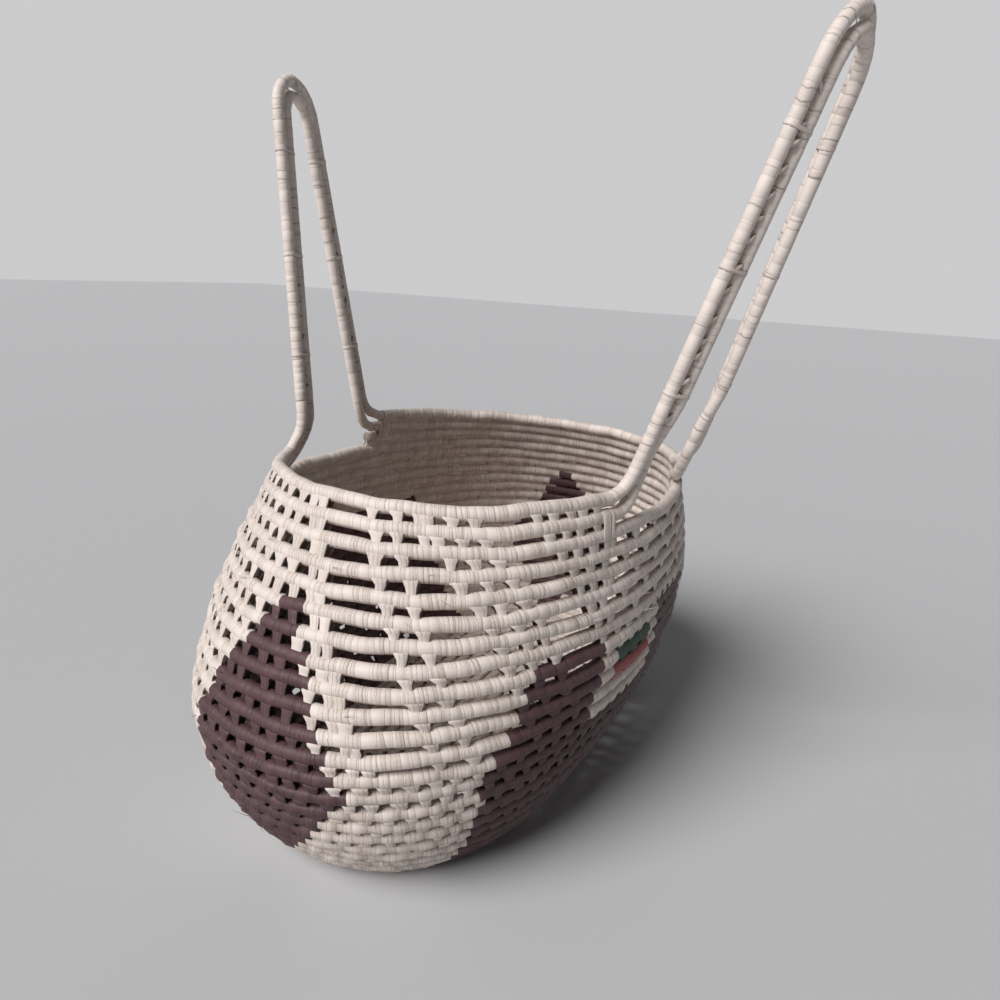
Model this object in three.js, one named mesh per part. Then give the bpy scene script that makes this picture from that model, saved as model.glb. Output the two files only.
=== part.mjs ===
// A coiled raffia basket with two tall handles.
// One coil of wrapped raffia runs in rounds from the middle of the base up the wall. Its last two rounds
// leave the rim at four feet and rise as the outer and inner strands of the handles. Strips of raffia
// stitch each round to the one below it, a lashing binds each foot, and ties hold the two strands of a
// handle together.
// Millimetres, +Z up. The origin is on the floor under the middle of the base, +X runs along the basket,
// and +Y points to the side of the left handle.
import * as THREE from 'three';

// Coil and clearances
const COIL_DIAMETER = 9.2;
const FIT_GAP = 0.3; // between pieces that touch on the real basket
const SPLICE_GAP = 0.6; // between two lengths of coil that meet end to end

// Plan of the basket: half sizes to the middle of the coil
const BASE_HALF_LENGTH = 208;
const BASE_HALF_WIDTH = 95;
const BELLY_HALF_LENGTH = 260;
const BELLY_HALF_WIDTH = 166;
const RIM_HALF_LENGTH = 179;
const RIM_HALF_WIDTH = 145;
const BELLY_LENGTH_HEIGHT = 114; // height at which the ends bulge most
const BELLY_WIDTH_HEIGHT = 160; // height at which the sides bulge most
const RIM_SHIFT = -15; // the soft rim has slumped sideways, towards -Y
const END_SAG = 11.5; // by which the rim has sunk at the far end
const RIM_TURN = -2.5; // degrees that the rim has turned on the base
const LENGTH_POWERS = { lower: 2, upper: 1.33 }; // how sharply the ends bend below and above their belly
const WIDTH_POWERS = { lower: 2.7, upper: 1.25 }; // how sharply the sides bend below and above their belly
const OVAL_EXPONENT = 2.2; // 2 is an ellipse, more is fuller
const SIDE_ANGLE = 15; // half the angle that a straight side of the base takes up

// Rounds of the coil
const BASE_STEP = 11; // from round to round on the base
const CORE_GAP = 0.45; // least gap beside the straight core of the base
const LOWER_ROUNDS = 7;
const LOWER_STEP = 11.2; // rise of a round in the tight lower wall
const UPPER_ROUNDS = 13;
const UPPER_STEP = 12.7; // rise of a round in the open upper wall
const RIM_STEP = 11.5; // rise from the last whole round to each rim round
const LOWER_COIL_ROUNDS = 10; // rounds in the lower length of wall coil
const COIL_END_ANGLE = 2; // degrees short of a whole round at which the upper length ends

// Handles: places on the rim are angles in degrees, counted from +X towards +Y
const LEFT_NEAR_FOOT_ANGLE = 128;
const LEFT_FAR_FOOT_ANGLE = 81.5;
const RIGHT_NEAR_FOOT_ANGLE = 248;
const RIGHT_FAR_FOOT_ANGLE = 295;
const FOOT_REACH = 21; // along the rim from a foot to its leg
const FOOT_CURVE = 0.55; // how far the bend at a foot keeps to its two directions, as a share of the reach
const STRAND_STEP = 10.4; // from the outer to the inner strand, in the plane of the handle
const HINGE_RISE = 26; // from the rim round to the line on which a handle bends
const LEFT_HANDLE_HEIGHT = 251; // from the bending line to the top of the outer strand
const LEFT_CROWN_RADIUS = 27;
const LEFT_LEAN = 7.6; // degrees outwards
const LEFT_TWIST = 7; // degrees that the legs have turned from the line of their feet
const LEFT_OUTSET = -5; // of the legs from the rim
const LEFT_STRAND_OUTSET = 0; // of the inner strand from the plane of the outer one
const RIGHT_HANDLE_HEIGHT = 287;
const RIGHT_CROWN_RADIUS = 39;
const RIGHT_LEAN = 17;
const RIGHT_TWIST = -5.5;
const RIGHT_OUTSET = 4;
const RIGHT_STRAND_OUTSET = 5;
const TIES_PER_LEG = 3;
const TIE_PLACE = 0.6; // of the first tie up a leg, as a share of the distance from tie to tie

// Raffia strips
const STITCH_WIDTH = 6;
const STITCH_THICKNESS = 1.2;
const STITCH_TAIL = 3; // of a stitch line past its first and last round
const BINDING_WIDTH = 7; // of lashings and ties
const BINDING_THICKNESS = 1;
const CROWN_TIE_WIDTH = 4; // of the tie at the top of a handle, where the strands bend

// Facets
const STEPS_PER_ROUND = 24;
const COIL_SIDES = 6;
const STRAND_SIDES = 8;
const BEND_STEPS = 6;
const CORE_STEPS = 4; // along the straight core of the base
const LEG_STEPS = 4;
const CROWN_STEPS = 12;
const BINDING_END_STEPS = 5; // around each end of a binding's loop
const TIP_ANGLES = [80, 55, 28]; // degrees of latitude of the rings in a round tip

const COIL_RADIUS = COIL_DIAMETER / 2;
const FLAT_RADIUS = COIL_RADIUS * Math.cos(Math.PI / COIL_SIDES); // from the axis to a flat of the coil
const BASE_HEIGHT = FLAT_RADIUS; // the base rests on the lower flats of its rounds
const WALL_START = COIL_RADIUS + 0.1 * COIL_DIAMETER; // the first wall round is clear of the floor
const WALL_ROUNDS = LOWER_ROUNDS + UPPER_ROUNDS;
const SEAM_ANGLE = 90; // where the rounds are counted from
const RIM_LEVEL = wallHeight(WALL_ROUNDS - 0.5) + 2 * RIM_STEP;
const LENGTHS = { bottom: BASE_HALF_LENGTH, belly: BELLY_HALF_LENGTH, top: RIM_HALF_LENGTH };
const WIDTHS = { bottom: BASE_HALF_WIDTH, belly: BELLY_HALF_WIDTH, top: RIM_HALF_WIDTH };
const UP = new THREE.Vector3(0, 0, 1);

const RAFFIA = new THREE.MeshStandardMaterial({ color: 0xd8cbb6, roughness: 0.75, metalness: 0 });
const BOUND_RAFFIA = new THREE.MeshStandardMaterial({ color: 0xc9baa4, roughness: 0.8, metalness: 0 });

const basket = new THREE.Group();

// Shape of the wall

function wallHeight(turn) {
  const low = Math.min(turn, LOWER_ROUNDS);
  const high = Math.max(0, turn - LOWER_ROUNDS);
  return WALL_START + low * LOWER_STEP + high * UPPER_STEP;
}

function bulge(height, { bottom, belly, top }, bellyHeight, powers) {
  if (height < bellyHeight) {
    const down = (bellyHeight - height) / (bellyHeight - WALL_START);
    return belly - (belly - bottom) * Math.pow(Math.min(down, 1), powers.lower);
  }
  const up = (height - bellyHeight) / (RIM_LEVEL - bellyHeight);
  return belly - (belly - top) * Math.pow(up, powers.upper);
}

// A long oval with straight sides and half round ends
function stadiumPoint(degrees, straight, radius) {
  const turned = ((degrees % 360) + 360) % 360;
  const mirrored = turned > 180 ? 360 - turned : turned;
  const fromEnd = mirrored > 90 ? 180 - mirrored : mirrored;
  const endSign = mirrored > 90 ? -1 : 1;
  const sideSign = turned > 180 ? -1 : 1;
  if (fromEnd <= 90 - SIDE_ANGLE) {
    const round = (fromEnd / (90 - SIDE_ANGLE)) * (Math.PI / 2);
    return [endSign * (straight + radius * Math.cos(round)), sideSign * radius * Math.sin(round)];
  }
  return [endSign * straight * ((90 - fromEnd) / SIDE_ANGLE), sideSign * radius];
}

function ovalPoint(degrees, halfLength, halfWidth) {
  const power = 2 / OVAL_EXPONENT;
  const c = Math.cos(THREE.MathUtils.degToRad(degrees));
  const s = Math.sin(THREE.MathUtils.degToRad(degrees));
  const x = halfLength * Math.sign(c) * Math.pow(Math.abs(c), power);
  const y = halfWidth * Math.sign(s) * Math.pow(Math.abs(s), power);
  return [x, y];
}

// The middle of the coil at an angle and a height of the wall
function wallPoint(degrees, height) {
  const halfLength = bulge(height, LENGTHS, BELLY_LENGTH_HEIGHT, LENGTH_POWERS);
  const halfWidth = bulge(height, WIDTHS, BELLY_WIDTH_HEIGHT, WIDTH_POWERS);
  const long = stadiumPoint(degrees, halfLength - halfWidth, halfWidth);
  const oval = ovalPoint(degrees, halfLength, halfWidth);
  const rounding = THREE.MathUtils.smoothstep(height, WALL_START, BELLY_LENGTH_HEIGHT);
  const x = THREE.MathUtils.lerp(long[0], oval[0], rounding);
  const y = THREE.MathUtils.lerp(long[1], oval[1], rounding);
  const slump = Math.max(0, (height - BELLY_LENGTH_HEIGHT) / (RIM_LEVEL - BELLY_LENGTH_HEIGHT));
  const turn = THREE.MathUtils.degToRad(RIM_TURN * slump);
  const turnedX = x * Math.cos(turn) - y * Math.sin(turn);
  const turnedY = x * Math.sin(turn) + y * Math.cos(turn);
  const farShare = (1 + Math.cos(THREE.MathUtils.degToRad(degrees))) / 2;
  const sag = END_SAG * slump * slump * farShare * farShare;
  return new THREE.Vector3(turnedX, turnedY + RIM_SHIFT * slump, height - sag);
}

function wallNormal(degrees, height) {
  const along = wallPoint(degrees + 0.5, height).sub(wallPoint(degrees - 0.5, height));
  const upward = wallPoint(degrees, height + 0.5).sub(wallPoint(degrees, height - 0.5));
  return along.cross(upward).normalize();
}

// Turns of the wall coil: 0 is its start, and whole turns lie at the seam angle
function turnAngle(turn) {
  return SEAM_ANGLE + 360 * turn;
}

function roundHeight(turn, rimRound) {
  return wallHeight(turn) + rimRound * RIM_STEP;
}

// A point on the faceted round: rounds have their corners at the same angles
function roundPoint(turn, rimRound = 0) {
  const first = Math.floor(turn * STEPS_PER_ROUND + 1e-6) / STEPS_PER_ROUND;
  const next = first + 1 / STEPS_PER_ROUND;
  const a = wallPoint(turnAngle(first), roundHeight(first, rimRound));
  const b = wallPoint(turnAngle(next), roundHeight(next, rimRound));
  return a.lerp(b, (turn - first) * STEPS_PER_ROUND);
}

function roundNormal(turn, rimRound = 0) {
  return wallNormal(turnAngle(turn), roundHeight(turn, rimRound));
}

// Solids swept along a row of sections

function sweep(sections, loop = false) {
  const sides = sections[0].length;
  const positions = sections.flat().flatMap((p) => [p.x, p.y, p.z]);
  const index = [];
  const spans = loop ? sections.length : sections.length - 1;
  for (let i = 0; i < spans; i += 1) {
    const a = i * sides;
    const b = ((i + 1) % sections.length) * sides;
    for (let j = 0; j < sides; j += 1) {
      const k = (j + 1) % sides;
      index.push(a + j, a + k, b + k, a + j, b + k, b + j);
    }
  }
  if (!loop) {
    const last = (sections.length - 1) * sides;
    for (let j = 1; j < sides - 1; j += 1) {
      index.push(0, j + 1, j, last, last + j, last + j + 1);
    }
  }
  const geometry = new THREE.BufferGeometry();
  geometry.setAttribute('position', new THREE.Float32BufferAttribute(positions, 3));
  geometry.setIndex(enclosedVolume(positions, index) < 0 ? flipped(index) : index);
  geometry.computeVertexNormals();
  return geometry;
}

function enclosedVolume(positions, index) {
  const at = (i) => new THREE.Vector3(positions[3 * i], positions[3 * i + 1], positions[3 * i + 2]);
  let volume = 0;
  for (let i = 0; i < index.length; i += 3) {
    volume += at(index[i]).dot(at(index[i + 1]).cross(at(index[i + 2]))) / 6;
  }
  return volume;
}

function flipped(index) {
  const out = [];
  for (let i = 0; i < index.length; i += 3) {
    out.push(index[i], index[i + 2], index[i + 1]);
  }
  return out;
}

// A section of a round tube: normal is the direction of its first corner
function tubeSection(middle, tangent, normal, radius, sides) {
  const across = normal.clone().addScaledVector(tangent, -normal.dot(tangent)).normalize();
  const other = tangent.clone().cross(across);
  const corners = [];
  for (let j = 0; j < sides; j += 1) {
    const angle = (2 * Math.PI * j) / sides;
    const corner = middle.clone().addScaledVector(across, radius * Math.cos(angle));
    corners.push(corner.addScaledVector(other, radius * Math.sin(angle)));
  }
  return corners;
}

function tangents(points) {
  return points.map((p, i) => {
    const before = points[Math.max(0, i - 1)];
    const after = points[Math.min(points.length - 1, i + 1)];
    return after.clone().sub(before).normalize();
  });
}

function tube(points, normals, sides) {
  const directions = tangents(points);
  return sweep(points.map((p, i) => tubeSection(p, directions[i], normals[i], COIL_RADIUS, sides)));
}

function addPiece(name, geometry, material) {
  const piece = new THREE.Mesh(geometry, material);
  piece.name = name;
  basket.add(piece);
}

// Coil of the base and of the wall

// The base starts as a straight core that turns back on itself and then winds round in a spiral
function baseCoilPath() {
  const straight = BASE_HALF_LENGTH - BASE_HALF_WIDTH;
  const sideTurn = SIDE_ANGLE / 360;
  const leastRadius = COIL_DIAMETER + CORE_GAP - BASE_STEP / 4;
  const rounds = Math.floor((BASE_HALF_WIDTH - leastRadius) / BASE_STEP);
  const radiusAt = (turn) => BASE_HALF_WIDTH + BASE_STEP * turn;
  const coreStart = (radiusAt(sideTurn - rounds) - radiusAt(0.5 - sideTurn - rounds)) / 2;
  const coreEnd = (radiusAt(-sideTurn - rounds) - radiusAt(0.5 + sideTurn - rounds)) / 2;
  const points = [];
  const normals = [];
  for (let i = 0; i < CORE_STEPS; i += 1) {
    const t = i / CORE_STEPS;
    const x = THREE.MathUtils.lerp(COIL_RADIUS - straight, straight, t);
    const y = THREE.MathUtils.lerp(coreStart, coreEnd, t);
    points.push(new THREE.Vector3(x, y, BASE_HEIGHT));
    normals.push(new THREE.Vector3(0, -1, 0));
  }
  const bendTop = radiusAt(-sideTurn - rounds);
  const bendRadius = (bendTop - coreEnd) / 2;
  for (let i = 0; i < BEND_STEPS; i += 1) {
    const angle = -Math.PI / 2 + (Math.PI * i) / BEND_STEPS;
    const outward = new THREE.Vector3(Math.cos(angle), Math.sin(angle), 0);
    const middle = new THREE.Vector3(straight, (bendTop + coreEnd) / 2, BASE_HEIGHT);
    points.push(middle.addScaledVector(outward, bendRadius));
    normals.push(outward);
  }
  const turns = [-sideTurn - rounds];
  const firstStep = Math.floor(turns[0] * STEPS_PER_ROUND + 1e-6) + 1;
  for (let step = firstStep; step < 0; step += 1) {
    turns.push(step / STEPS_PER_ROUND);
  }
  turns.push((-SPLICE_GAP * SIDE_ANGLE) / (360 * straight));
  for (const turn of turns) {
    const angle = turnAngle(turn);
    const [x, y] = stadiumPoint(angle, straight, radiusAt(turn));
    const [nearX, nearY] = stadiumPoint(angle, straight, radiusAt(turn) - 1);
    points.push(new THREE.Vector3(x, y, BASE_HEIGHT));
    normals.push(new THREE.Vector3(x - nearX, y - nearY, 0).normalize());
  }
  return { points, normals };
}

function wallCoilPath(from, to) {
  const points = [];
  const normals = [];
  const turns = [from];
  for (let step = Math.floor(from * STEPS_PER_ROUND) + 1; step < to * STEPS_PER_ROUND - 1e-6; step += 1) {
    turns.push(step / STEPS_PER_ROUND);
  }
  turns.push(to);
  for (const turn of turns) {
    points.push(roundPoint(turn));
    normals.push(roundNormal(turn));
  }
  return { points, normals };
}

// The least clear distance between rounds of a coil, measured on points along its axis
function selfGap(points) {
  const fine = [];
  const lengths = [];
  let length = 0;
  for (let i = 0; i < points.length - 1; i += 1) {
    const stretch = points[i].distanceTo(points[i + 1]) / 4;
    for (let k = 0; k < 4; k += 1) {
      fine.push(points[i].clone().lerp(points[i + 1], k / 4));
      lengths.push(length);
      length += stretch;
    }
  }
  let least = Infinity;
  for (let i = 0; i < fine.length; i += 1) {
    for (let j = i + 1; j < fine.length; j += 1) {
      if (lengths[j] - lengths[i] > 3 * COIL_DIAMETER) {
        least = Math.min(least, fine[i].distanceTo(fine[j]));
      }
    }
  }
  return least - COIL_DIAMETER;
}

const spliceTurn = SPLICE_GAP / (2 * Math.PI * BELLY_HALF_WIDTH);
const coilEnd = WALL_ROUNDS - COIL_END_ANGLE / 360;
const coils = {
  base_coil: baseCoilPath(),
  lower_wall_coil: wallCoilPath(0, LOWER_COIL_ROUNDS),
  upper_wall_coil: wallCoilPath(LOWER_COIL_ROUNDS + spliceTurn, coilEnd),
};
for (const [name, path] of Object.entries(coils)) {
  console.log(`${name}: least gap between its rounds ${selfGap(path.points).toFixed(2)} mm`);
  addPiece(name, tube(path.points, path.normals, COIL_SIDES), RAFFIA);
}

// Handles and the rim rounds that run into them

// The turn of the last whole round at an angle of the rim
function rimTurn(degrees) {
  const past = (((degrees - SEAM_ANGLE) % 360) + 360) % 360;
  return WALL_ROUNDS - 1 + past / 360;
}

// Moves along the rim by a length: positive runs with the coil
function alongRim(turn, length) {
  const a = roundPoint(turn - 0.01, 2);
  const b = roundPoint(turn + 0.01, 2);
  return turn + (0.02 * length) / a.distanceTo(b);
}

function handleFrame(nearFoot, farFoot, nearSign, { lean, twist, outset, strandOutset }) {
  const nearTurn = rimTurn(nearFoot);
  const farTurn = rimTurn(farFoot);
  const nearLeg = roundPoint(alongRim(nearTurn, nearSign * FOOT_REACH), 2);
  const farLeg = roundPoint(alongRim(farTurn, -nearSign * FOOT_REACH), 2);
  const middle = nearLeg.clone().add(farLeg).multiplyScalar(0.5);
  const along = farLeg.clone().sub(nearLeg).setZ(0);
  const halfSpan = along.length() / 2;
  along.normalize().applyAxisAngle(UP, THREE.MathUtils.degToRad(twist));
  const out = along.clone().cross(UP).multiplyScalar(nearSign).normalize();
  const tilt = THREE.MathUtils.degToRad(lean);
  const lift = UP.clone().multiplyScalar(Math.cos(tilt)).addScaledVector(out, Math.sin(tilt));
  const face = along.clone().cross(lift);
  const away = out.clone().multiplyScalar(Math.cos(tilt)).addScaledVector(UP, -Math.sin(tilt));
  middle.addScaledVector(out, outset).addScaledVector(lift, HINGE_RISE / lift.z);
  return { nearTurn, farTurn, nearSign, middle, along, lift, face, away, halfSpan, strandOutset };
}

// The flat path of a strand: two straight legs that meet a round crown
function archPath(halfSpan, radius, height) {
  const toCorner = Math.atan2(-(height - radius), -halfSpan);
  const reach = Math.hypot(halfSpan, height - radius);
  const start = toCorner + 2 * Math.PI - Math.acos(radius / reach);
  const path = [];
  const touch = [radius * Math.cos(start), height - radius + radius * Math.sin(start)];
  for (let i = 0; i < LEG_STEPS; i += 1) {
    const t = i / LEG_STEPS;
    path.push([-halfSpan + (touch[0] + halfSpan) * t, touch[1] * t]);
  }
  for (let i = 0; i <= CROWN_STEPS; i += 1) {
    const angle = start + ((Math.PI - 2 * start) * i) / CROWN_STEPS;
    path.push([radius * Math.cos(angle), height - radius + radius * Math.sin(angle)]);
  }
  for (let i = LEG_STEPS - 1; i >= 0; i -= 1) {
    path.push([-path[i][0], path[i][1]]);
  }
  return path;
}

// A point of a handle: across and up in its plane, and away from it out of the basket
function handlePoint(frame, [across, up, away = 0]) {
  const point = frame.middle.clone().addScaledVector(frame.along, across).addScaledVector(frame.lift, up);
  return point.addScaledVector(frame.away, away);
}

// A strand ends in round tips whose centres lie on the bending line
function strandSolid(frame, path) {
  const points = path.map((p) => handlePoint(frame, p));
  const directions = tangents(points);
  directions[0] = frame.lift.clone();
  directions[points.length - 1] = frame.lift.clone().negate();
  const section = (i, radius, shift) => {
    const middle = points[i].clone().addScaledVector(directions[i], shift);
    return tubeSection(middle, directions[i], frame.face, radius, STRAND_SIDES);
  };
  const tip = (i, sign) => TIP_ANGLES.map((degrees) => {
    const angle = THREE.MathUtils.degToRad(degrees);
    return section(i, COIL_RADIUS * Math.cos(angle), sign * COIL_RADIUS * Math.sin(angle));
  });
  const last = points.length - 1;
  const middleSections = points.map((p, i) => section(i, COIL_RADIUS, 0));
  return sweep([...tip(0, -1), ...middleSections, ...tip(last, 1).reverse()]);
}

// A flat band bent round two parallel cords, with some slack where the cords bend
function bindingSolid(first, second, cordDirection, width = BINDING_WIDTH, slack = 0) {
  const between = second.clone().sub(first);
  between.addScaledVector(cordDirection, -between.dot(cordDirection)).normalize();
  const sideways = cordDirection.clone().cross(between).normalize();
  const stepAngle = Math.PI / (BINDING_END_STEPS - 1);
  const inner = (COIL_RADIUS + FIT_GAP + slack) / Math.cos(stepAngle / 2);
  const outer = inner + BINDING_THICKNESS;
  const sections = [];
  for (let i = 0; i < 2 * BINDING_END_STEPS; i += 1) {
    const end = i < BINDING_END_STEPS ? first : second;
    const step = i % BINDING_END_STEPS;
    const angle = (i < BINDING_END_STEPS ? Math.PI : 0) - Math.PI / 2 + step * stepAngle;
    const outward = between.clone().multiplyScalar(Math.cos(angle));
    outward.addScaledVector(sideways, Math.sin(angle));
    const corner = (radius, shift) => end.clone()
      .addScaledVector(outward, radius)
      .addScaledVector(cordDirection, shift * width / 2);
    sections.push([corner(inner, -1), corner(outer, -1), corner(outer, 1), corner(inner, 1)]);
  }
  return sweep(sections, true);
}

function addHandle(side, frame, crownRadius, height) {
  const outer = archPath(frame.halfSpan, crownRadius, height);
  const inner = archPath(frame.halfSpan - STRAND_STEP, crownRadius - STRAND_STEP, height - STRAND_STEP);
  for (const spot of inner.slice(1, -1)) {
    spot.push(frame.strandOutset);
  }
  addPiece(`${side}_handle_outer_strand`, strandSolid(frame, outer), RAFFIA);
  addPiece(`${side}_handle_inner_strand`, strandSolid(frame, inner), RAFFIA);
  const leg = (path, t) => [
    THREE.MathUtils.lerp(path[0][0], path[LEG_STEPS][0], t),
    THREE.MathUtils.lerp(path[0][1], path[LEG_STEPS][1], t),
    Math.min(1, t * LEG_STEPS) * (path[LEG_STEPS][2] || 0),
  ];
  let count = 0;
  const addTie = (outerSpot, innerSpot, direction, width, slack) => {
    count += 1;
    const a = handlePoint(frame, outerSpot);
    const b = handlePoint(frame, innerSpot);
    addPiece(`${side}_handle_tie_${count}`, bindingSolid(a, b, direction, width, slack), BOUND_RAFFIA);
  };
  for (const mirror of [1, -1]) {
    const rise = new THREE.Vector2(outer[LEG_STEPS][0] - outer[0][0], outer[LEG_STEPS][1]);
    const legSlack = (BINDING_WIDTH / 2) * ((LEG_STEPS * frame.strandOutset) / rise.length());
    rise.normalize();
    const direction = frame.along.clone().multiplyScalar(mirror * rise.x);
    direction.addScaledVector(frame.lift, rise.y);
    for (let i = 1; i <= TIES_PER_LEG; i += 1) {
      const t = (i - 1 + TIE_PLACE) / TIES_PER_LEG;
      const [ox, oy] = leg(outer, t);
      const [ix, iy, away] = leg(inner, t);
      addTie([mirror * ox, oy], [mirror * ix, iy, away], direction, BINDING_WIDTH, legSlack);
    }
  }
  const tightBend = crownRadius - STRAND_STEP - COIL_RADIUS;
  const slack = (CROWN_TIE_WIDTH * CROWN_TIE_WIDTH) / (8 * tightBend);
  const crownSpot = [0, height - STRAND_STEP, frame.strandOutset];
  addTie([0, height], crownSpot, frame.along, CROWN_TIE_WIDTH, slack);
}

// The bend that takes a rim round up to the foot of a strand
function footBend(frame, turn, rimRound, towards, legPoint) {
  const start = roundPoint(turn, rimRound);
  const ahead = roundPoint(turn + towards * 0.002, rimRound).sub(start).normalize();
  const end = legPoint.clone().addScaledVector(frame.lift, -(COIL_RADIUS + FIT_GAP));
  const reach = FOOT_CURVE * FOOT_REACH;
  const curve = new THREE.CubicBezierCurve3(
    start,
    start.clone().addScaledVector(ahead, reach),
    end.clone().addScaledVector(frame.lift, -reach),
    end,
  );
  return curve.getPoints(BEND_STEPS);
}

function rimRoundSolid(from, to, rimRound) {
  const reach = rimRound === 1 ? STRAND_STEP : 0;
  const startTurn = alongRim(from.turn, -reach);
  const endTurn = alongRim(to.turn, reach);
  const startLeg = handlePoint(from.frame, [from.end * (from.frame.halfSpan - reach), 0]);
  const endLeg = handlePoint(to.frame, [to.end * (to.frame.halfSpan - reach), 0]);
  const points = footBend(from.frame, startTurn, rimRound, -1, startLeg).reverse();
  const normals = points.map(() => roundNormal(startTurn, rimRound));
  const firstStep = Math.ceil(startTurn * STEPS_PER_ROUND + 0.1);
  for (let step = firstStep; step < endTurn * STEPS_PER_ROUND - 0.1; step += 1) {
    points.push(roundPoint(step / STEPS_PER_ROUND, rimRound));
    normals.push(roundNormal(step / STEPS_PER_ROUND, rimRound));
  }
  for (const point of footBend(to.frame, endTurn, rimRound, 1, endLeg)) {
    points.push(point);
    normals.push(roundNormal(endTurn, rimRound));
  }
  return tube(points, normals, COIL_SIDES);
}

const leftSet = {
  lean: LEFT_LEAN,
  twist: LEFT_TWIST,
  outset: LEFT_OUTSET,
  strandOutset: LEFT_STRAND_OUTSET,
};
const rightSet = {
  lean: RIGHT_LEAN,
  twist: RIGHT_TWIST,
  outset: RIGHT_OUTSET,
  strandOutset: RIGHT_STRAND_OUTSET,
};
const leftHandle = handleFrame(LEFT_NEAR_FOOT_ANGLE, LEFT_FAR_FOOT_ANGLE, -1, leftSet);
const rightHandle = handleFrame(RIGHT_NEAR_FOOT_ANGLE, RIGHT_FAR_FOOT_ANGLE, 1, rightSet);
addHandle('left', leftHandle, LEFT_CROWN_RADIUS, LEFT_HANDLE_HEIGHT);
addHandle('right', rightHandle, RIGHT_CROWN_RADIUS, RIGHT_HANDLE_HEIGHT);

const feet = {
  near_left: { frame: leftHandle, turn: leftHandle.nearTurn, end: -1, into: -1 },
  near_right: { frame: rightHandle, turn: rightHandle.nearTurn, end: -1, into: 1 },
  far_right: { frame: rightHandle, turn: rightHandle.farTurn, end: 1, into: -1 },
  far_left: { frame: leftHandle, turn: leftHandle.farTurn, end: 1, into: 1 },
};
for (const [rimRound, row] of [[2, 'rim_round'], [1, 'second_round']]) {
  addPiece(`near_end_${row}`, rimRoundSolid(feet.near_left, feet.near_right, rimRound), RAFFIA);
  addPiece(`far_end_${row}`, rimRoundSolid(feet.far_right, feet.far_left, rimRound), RAFFIA);
}

// A lashing at each foot binds the second round to the whole round below it
for (const [name, foot] of Object.entries(feet)) {
  const turn = alongRim(foot.turn, -foot.into * STRAND_STEP / 2);
  const low = roundPoint(turn);
  const high = roundPoint(turn, 1);
  const direction = roundPoint(turn + 0.002).sub(roundPoint(turn - 0.002)).normalize();
  addPiece(`${name}_foot_lashing`, bindingSolid(high, low, direction), BOUND_RAFFIA);
}

// Lines of stitches, one down the wall at each corner of the rounds

function hasRimRounds(degrees) {
  const turn = rimTurn(degrees);
  const near = turn > feet.near_left.turn && turn < feet.near_right.turn;
  return near || (turn > feet.far_right.turn && turn < feet.far_left.turn);
}

function stitchLine(degrees) {
  const stops = [];
  const past = rimTurn(degrees) - (WALL_ROUNDS - 1);
  const lowest = past * LOWER_STEP > COIL_RADIUS ? 0 : 1;
  for (let round = lowest; round < WALL_ROUNDS; round += 1) {
    stops.push([round + past, 0]);
  }
  if (hasRimRounds(degrees)) {
    stops.push([WALL_ROUNDS - 1 + past, 1], [WALL_ROUNDS - 1 + past, 2]);
  }
  const offset = COIL_RADIUS + FIT_GAP + STITCH_THICKNESS / 2;
  const normals = stops.map(([turn, rimRound]) => roundNormal(turn, rimRound));
  const points = stops.map(([turn, rimRound]) => roundPoint(turn, rimRound));
  points.forEach((point, i) => point.addScaledVector(normals[i], offset));
  const last = points.length - 1;
  const ends = [[0, 1], [last, last - 1]].map(([end, beside]) => {
    const direction = points[end].clone().sub(points[beside]).normalize();
    return points[end].clone().addScaledVector(direction, STITCH_TAIL);
  });
  points.unshift(ends[0]);
  points.push(ends[1]);
  normals.unshift(normals[0]);
  normals.push(normals[last + 1]);
  const directions = tangents(points);
  return sweep(points.map((p, i) => {
    const out = normals[i].clone();
    out.addScaledVector(directions[i], -out.dot(directions[i])).normalize();
    const side = directions[i].clone().cross(out);
    const corner = (w, t) => p.clone()
      .addScaledVector(side, w * STITCH_WIDTH / 2)
      .addScaledVector(out, t * STITCH_THICKNESS / 2);
    return [corner(-1, -1), corner(1, -1), corner(1, 1), corner(-1, 1)];
  }));
}

for (let i = 0; i < STEPS_PER_ROUND; i += 1) {
  const number = String(i + 1).padStart(2, '0');
  addPiece(`stitch_line_${number}`, stitchLine((360 * i) / STEPS_PER_ROUND), BOUND_RAFFIA);
}

export default basket;
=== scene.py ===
"""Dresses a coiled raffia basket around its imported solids.

Every round of coil is wrapped strip by strip, every stitch is its own loop of raffia, the dark
motifs are dyed wraps and stitches, and the handles are two wrapped strands that are laced and tied
together. Metres, +Z up. The origin is on the floor under the middle of the base, +X runs along the
basket and +Y points to the side of the left handle. A turn counts rounds of the wall coil from the
start of the wall.
"""

import math

import bpy
import numpy as np
from mathutils import Matrix, Vector


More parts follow.
